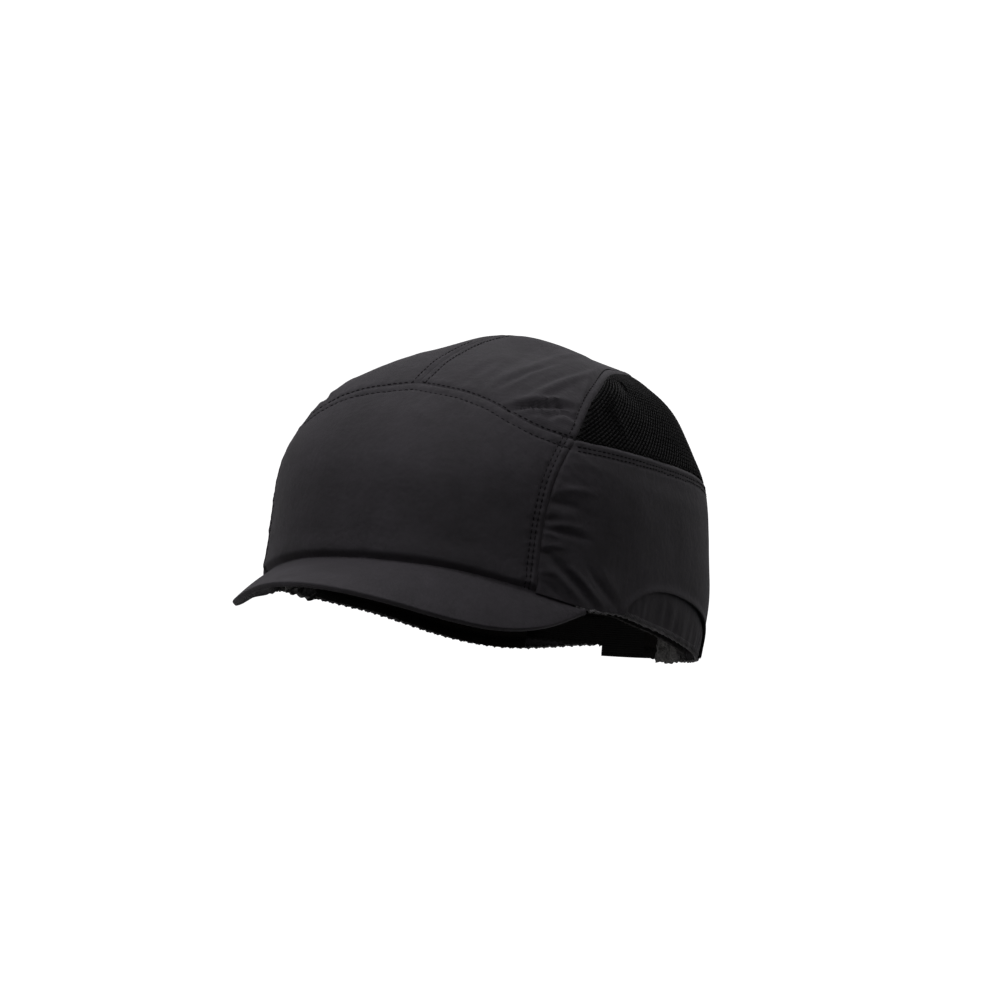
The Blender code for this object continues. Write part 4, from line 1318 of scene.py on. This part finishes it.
def add_hem_cord(look):
    """The overlocked edge: a thin wavy roll under the cloth, all the way round behind the peak's corners."""
    for side, sign in (("left", 1), ("right", -1)):
        degrees = np.sort(sign * spread(*HEM_CORD_ENDS, 520))
        columns = 12
        around = np.tile(np.arange(columns) / columns * 2 * math.pi, (len(degrees), 1))
        grid = np.tile(degrees[:, None], (1, columns))
        wave = 0.4 * np.sin(grid * 2.4) + 0.28 * np.sin(grid * 5.3 + 1)
        wave += 0.3 * ripple_at(grid / 1.7, 0, 0, 91)
        bead = 0.62 + 0.1 * np.sin(grid * 9)
        gusset = smooth_step(np.abs(grid), 77, 80) * (1 - smooth_step(np.abs(grid), 125, 128))
        depth = 0.7 + 1.1 * gusset - bead * np.cos(around) + 0.3 * wave
        z = hem(grid) - 0.2 + wave * 0.6 + bead * np.sin(around)
        closed_band(f"hem_edge_{side}", degrees, (depth, z), look, "twill", replaces=(f"hem_binding_{side}",))


# ---------------------------------------------------------------- stage

TARGET_RISE = 70  # from the middle of the skin's widest level up to the camera's target
CAMERA_AZIMUTH, CAMERA_ELEVATION, CAMERA_ROLL = map(math.radians, (30.74, -0.74, -1.65))
CAMERA_DISTANCE = 1605.5
SENSOR_MM = 36
FOCAL_PER_SENSOR = 3.4518
AIM_ASIDE, AIM_DOWN = 4.73, 69.24


def direction(azimuth, elevation):
    """The direction, from the cap, of angles in radians round and up from straight ahead."""
    level = math.cos(elevation)
    return Vector((math.sin(azimuth) * level, -math.cos(azimuth) * level, math.sin(elevation)))


def add_camera():
    """A long lens level with the cap, a little to the wearer's left of straight ahead."""
    back = direction(CAMERA_AZIMUTH, CAMERA_ELEVATION)
    right = Vector((math.cos(CAMERA_AZIMUTH), math.sin(CAMERA_AZIMUTH), 0))
    up = back.cross(right)
    shoulder = Vector((0, SHOULDER_Z * math.sin(WEAR_TILT), SHOULDER_Z * math.cos(WEAR_TILT)))
    target = shoulder + Vector((0, 0, TARGET_RISE))
    place = target + back * CAMERA_DISTANCE
    aim = target + right * AIM_ASIDE - up * AIM_DOWN
    forward = (aim - place).normalized()
    across = right * math.cos(CAMERA_ROLL) - up * math.sin(CAMERA_ROLL)
    across = (across - forward * across.dot(forward)).normalized()
    data = bpy.data.cameras.new("camera")
    data.sensor_width = SENSOR_MM
    data.lens = SENSOR_MM * FOCAL_PER_SENSOR
    data.clip_start, data.clip_end = 0.05, 50
    camera = bpy.data.objects.new("camera", data)
    turned = Matrix((across, (-forward).cross(across), -forward)).transposed()
    camera.matrix_world = Matrix.Translation(place * MM) @ turned.to_4x4()
    bpy.context.scene.collection.objects.link(camera)
    bpy.context.scene.camera = camera


def add_floor():
    """A pale floor that curves up into a wall all round, well below and beyond the cap."""
    floor_z, flat, bend, wall, around = -2.4, 5.0, 2.0, 18.0, 96
    profile = [(0.0, 0.0), (flat / 2, 0.0), (flat, 0.0)]
    profile += [(flat + bend * math.sin(a), bend * (1 - math.cos(a))) for a in spread(0, math.pi / 2, 12)[1:]]
    profile.append((flat + bend, wall))
    points, faces = [(0, 0, floor_z)], []
    for radius, rise in profile[1:]:
        points += [(radius * math.cos(t), radius * math.sin(t), floor_z + rise)
                   for t in np.arange(around) * 2 * math.pi / around]
    faces += [(0, 1 + i, 1 + (i + 1) % around) for i in range(around)]
    for ring in range(len(profile) - 2):
        low, high = 1 + ring * around, 1 + (ring + 1) * around
        faces += [(low + i, high + i, high + (i + 1) % around, low + (i + 1) % around) for i in range(around)]
    data = bpy.data.meshes.new("floor")
    data.from_pydata(points, [], faces)
    data.shade_smooth()
    floor = bpy.data.objects.new("floor", data)
    made, _, shader = material("pale_floor", (0.9, 0.9, 0.9), 1.0, specular=0.0)
    shader.inputs["Emission Color"].default_value = (1, 1, 1, 1)
    shader.inputs["Emission Strength"].default_value = 1.0
    data.materials.append(made)
    bpy.context.scene.collection.objects.link(floor)
    floor.visible_diffuse = False
    floor.visible_glossy = False
    floor.visible_shadow = False


LIGHTS_AIM = (0, 0, 0.05)
# name, azimuth, elevation, distance, size, watts, colour
LIGHTS = (("key", -14, 68, 2.2, 1.5, 25, (0.98, 0.965, 1)), ("fill", -30, 4, 2.4, 1.6, 1.1, (1, 1, 1)),
          ("below", -35, -42, 2.2, 1.4, 6, (1, 0.99, 0.97)), ("back", 200, 50, 2.2, 1.4, 5, (1, 1, 1)),
          ("rim", 146, 2, 2.2, 1.0, 2.5, (1, 1, 1)))


def add_light(name, azimuth, elevation, distance, size, power, colour):
    """A soft square light, by where it stands round the cap."""
    place = direction(math.radians(azimuth), math.radians(elevation)) * distance + Vector(LIGHTS_AIM)
    data = bpy.data.lights.new(name, "AREA")
    data.shape, data.size, data.energy, data.color = "SQUARE", size, power, colour
    light = bpy.data.objects.new(name, data)
    light.location = place
    light.rotation_mode = "QUATERNION"
    light.rotation_quaternion = (Vector(LIGHTS_AIM) - place).to_track_quat("-Z", "Y")
    bpy.context.scene.collection.objects.link(light)


def add_lights():
    """A dim room, brighter overhead and behind the cap, and its lights."""
    sky = bpy.data.worlds.new("studio")
    sky.use_nodes = True
    tree = sky.node_tree
    shade = tree.nodes["Background"]
    place = tree.nodes.new("ShaderNodeTexCoord")
    split = tree.nodes.new("ShaderNodeSeparateXYZ")
    above = node(tree, "ShaderNodeMapRange", From_Min=-0.1, From_Max=0.9, To_Min=0.045, To_Max=0.3)
    facing = tree.nodes.new("ShaderNodeVectorMath")
    facing.operation = "DOT_PRODUCT"
    facing.inputs[1].default_value = (-math.sin(CAMERA_AZIMUTH), math.cos(CAMERA_AZIMUTH), 0)
    behind = node(tree, "ShaderNodeMapRange", From_Min=0.3, From_Max=1.0, To_Min=0.0, To_Max=0.45)
    total = tree.nodes.new("ShaderNodeMath")
    total.operation = "ADD"
    tree.links.new(place.outputs["Generated"], split.inputs["Vector"])
    tree.links.new(place.outputs["Generated"], facing.inputs[0])
    tree.links.new(split.outputs["Z"], above.inputs["Value"])
    tree.links.new(facing.outputs["Value"], behind.inputs["Value"])
    tree.links.new(above.outputs["Result"], total.inputs[0])
    tree.links.new(behind.outputs["Result"], total.inputs[1])
    tree.links.new(total.outputs["Value"], shade.inputs["Strength"])
    shade.inputs["Color"].default_value = (0.98, 0.96, 1, 1)
    bpy.context.scene.world = sky
    for light in LIGHTS:
        add_light(*light)
    bpy.context.scene.view_settings.view_transform = "Standard"


# ---------------------------------------------------------------- build


def main():
    twill, knit, backing = twill_material(), knit_material(), backing_material()
    # The stitch thread is real, but its colour, darker than the cloth, is painted shade of the needle holes
    # along each stitch row.
    thread = thread_material("thread_darkened_as_painted_shade", (0.0105, 0.0098, 0.0108))
    serge = thread_material("grey_serging", (0.17, 0.167, 0.17))
    terry = terry_material("brown_black_terry", (0.003, 0.0022, 0.0016), (0.009, 0.0066, 0.005))
    towelling = terry_material("grey_towelling", (0.09, 0.088, 0.087), (0.27, 0.265, 0.26))
    plastic, foam, web = plastic_material(), foam_material(), webbing_material()

    front = add_front_panel(twill)
    crowns, sides, gussets = {}, {}, {}
    for side, sign in (("left", 1), ("right", -1)):
        crowns[side] = add_crown_panel(side, sign, twill)
        sides[side] = add_side_panel(side, sign, twill)
        gussets[side] = add_gusset(side, sign, twill)
        add_gusset_elastic(side, sign, web)
        add_mesh_backing(side, sign, backing)
        add_mesh_net(side, sign, knit)
    add_stitches(front, sides, crowns, gussets, thread, serge)
    add_hem_cord(serge)
    add_peak(twill, plastic)

    add_sweatband(terry, thread)
    add_lining(towelling)
    for bunch in LINING_BUNCHES:
        add_lining_bunch(*bunch, towelling)
    add_shell(plastic)
    for name, low_deg, high_deg in PADS:
        add_pad(name, foam, low_deg, high_deg, PAD_FOOT, PAD_TOP)
    add_crown_pad(foam)
    add_straps(web, hook_material(), thread)
    add_label(label_material())

    tape = bpy.data.objects["crown_seam_tape"]
    tape.data.materials.clear()
    tape.data.materials.append(web)

    add_floor()
    add_camera()
    add_lights()


main()
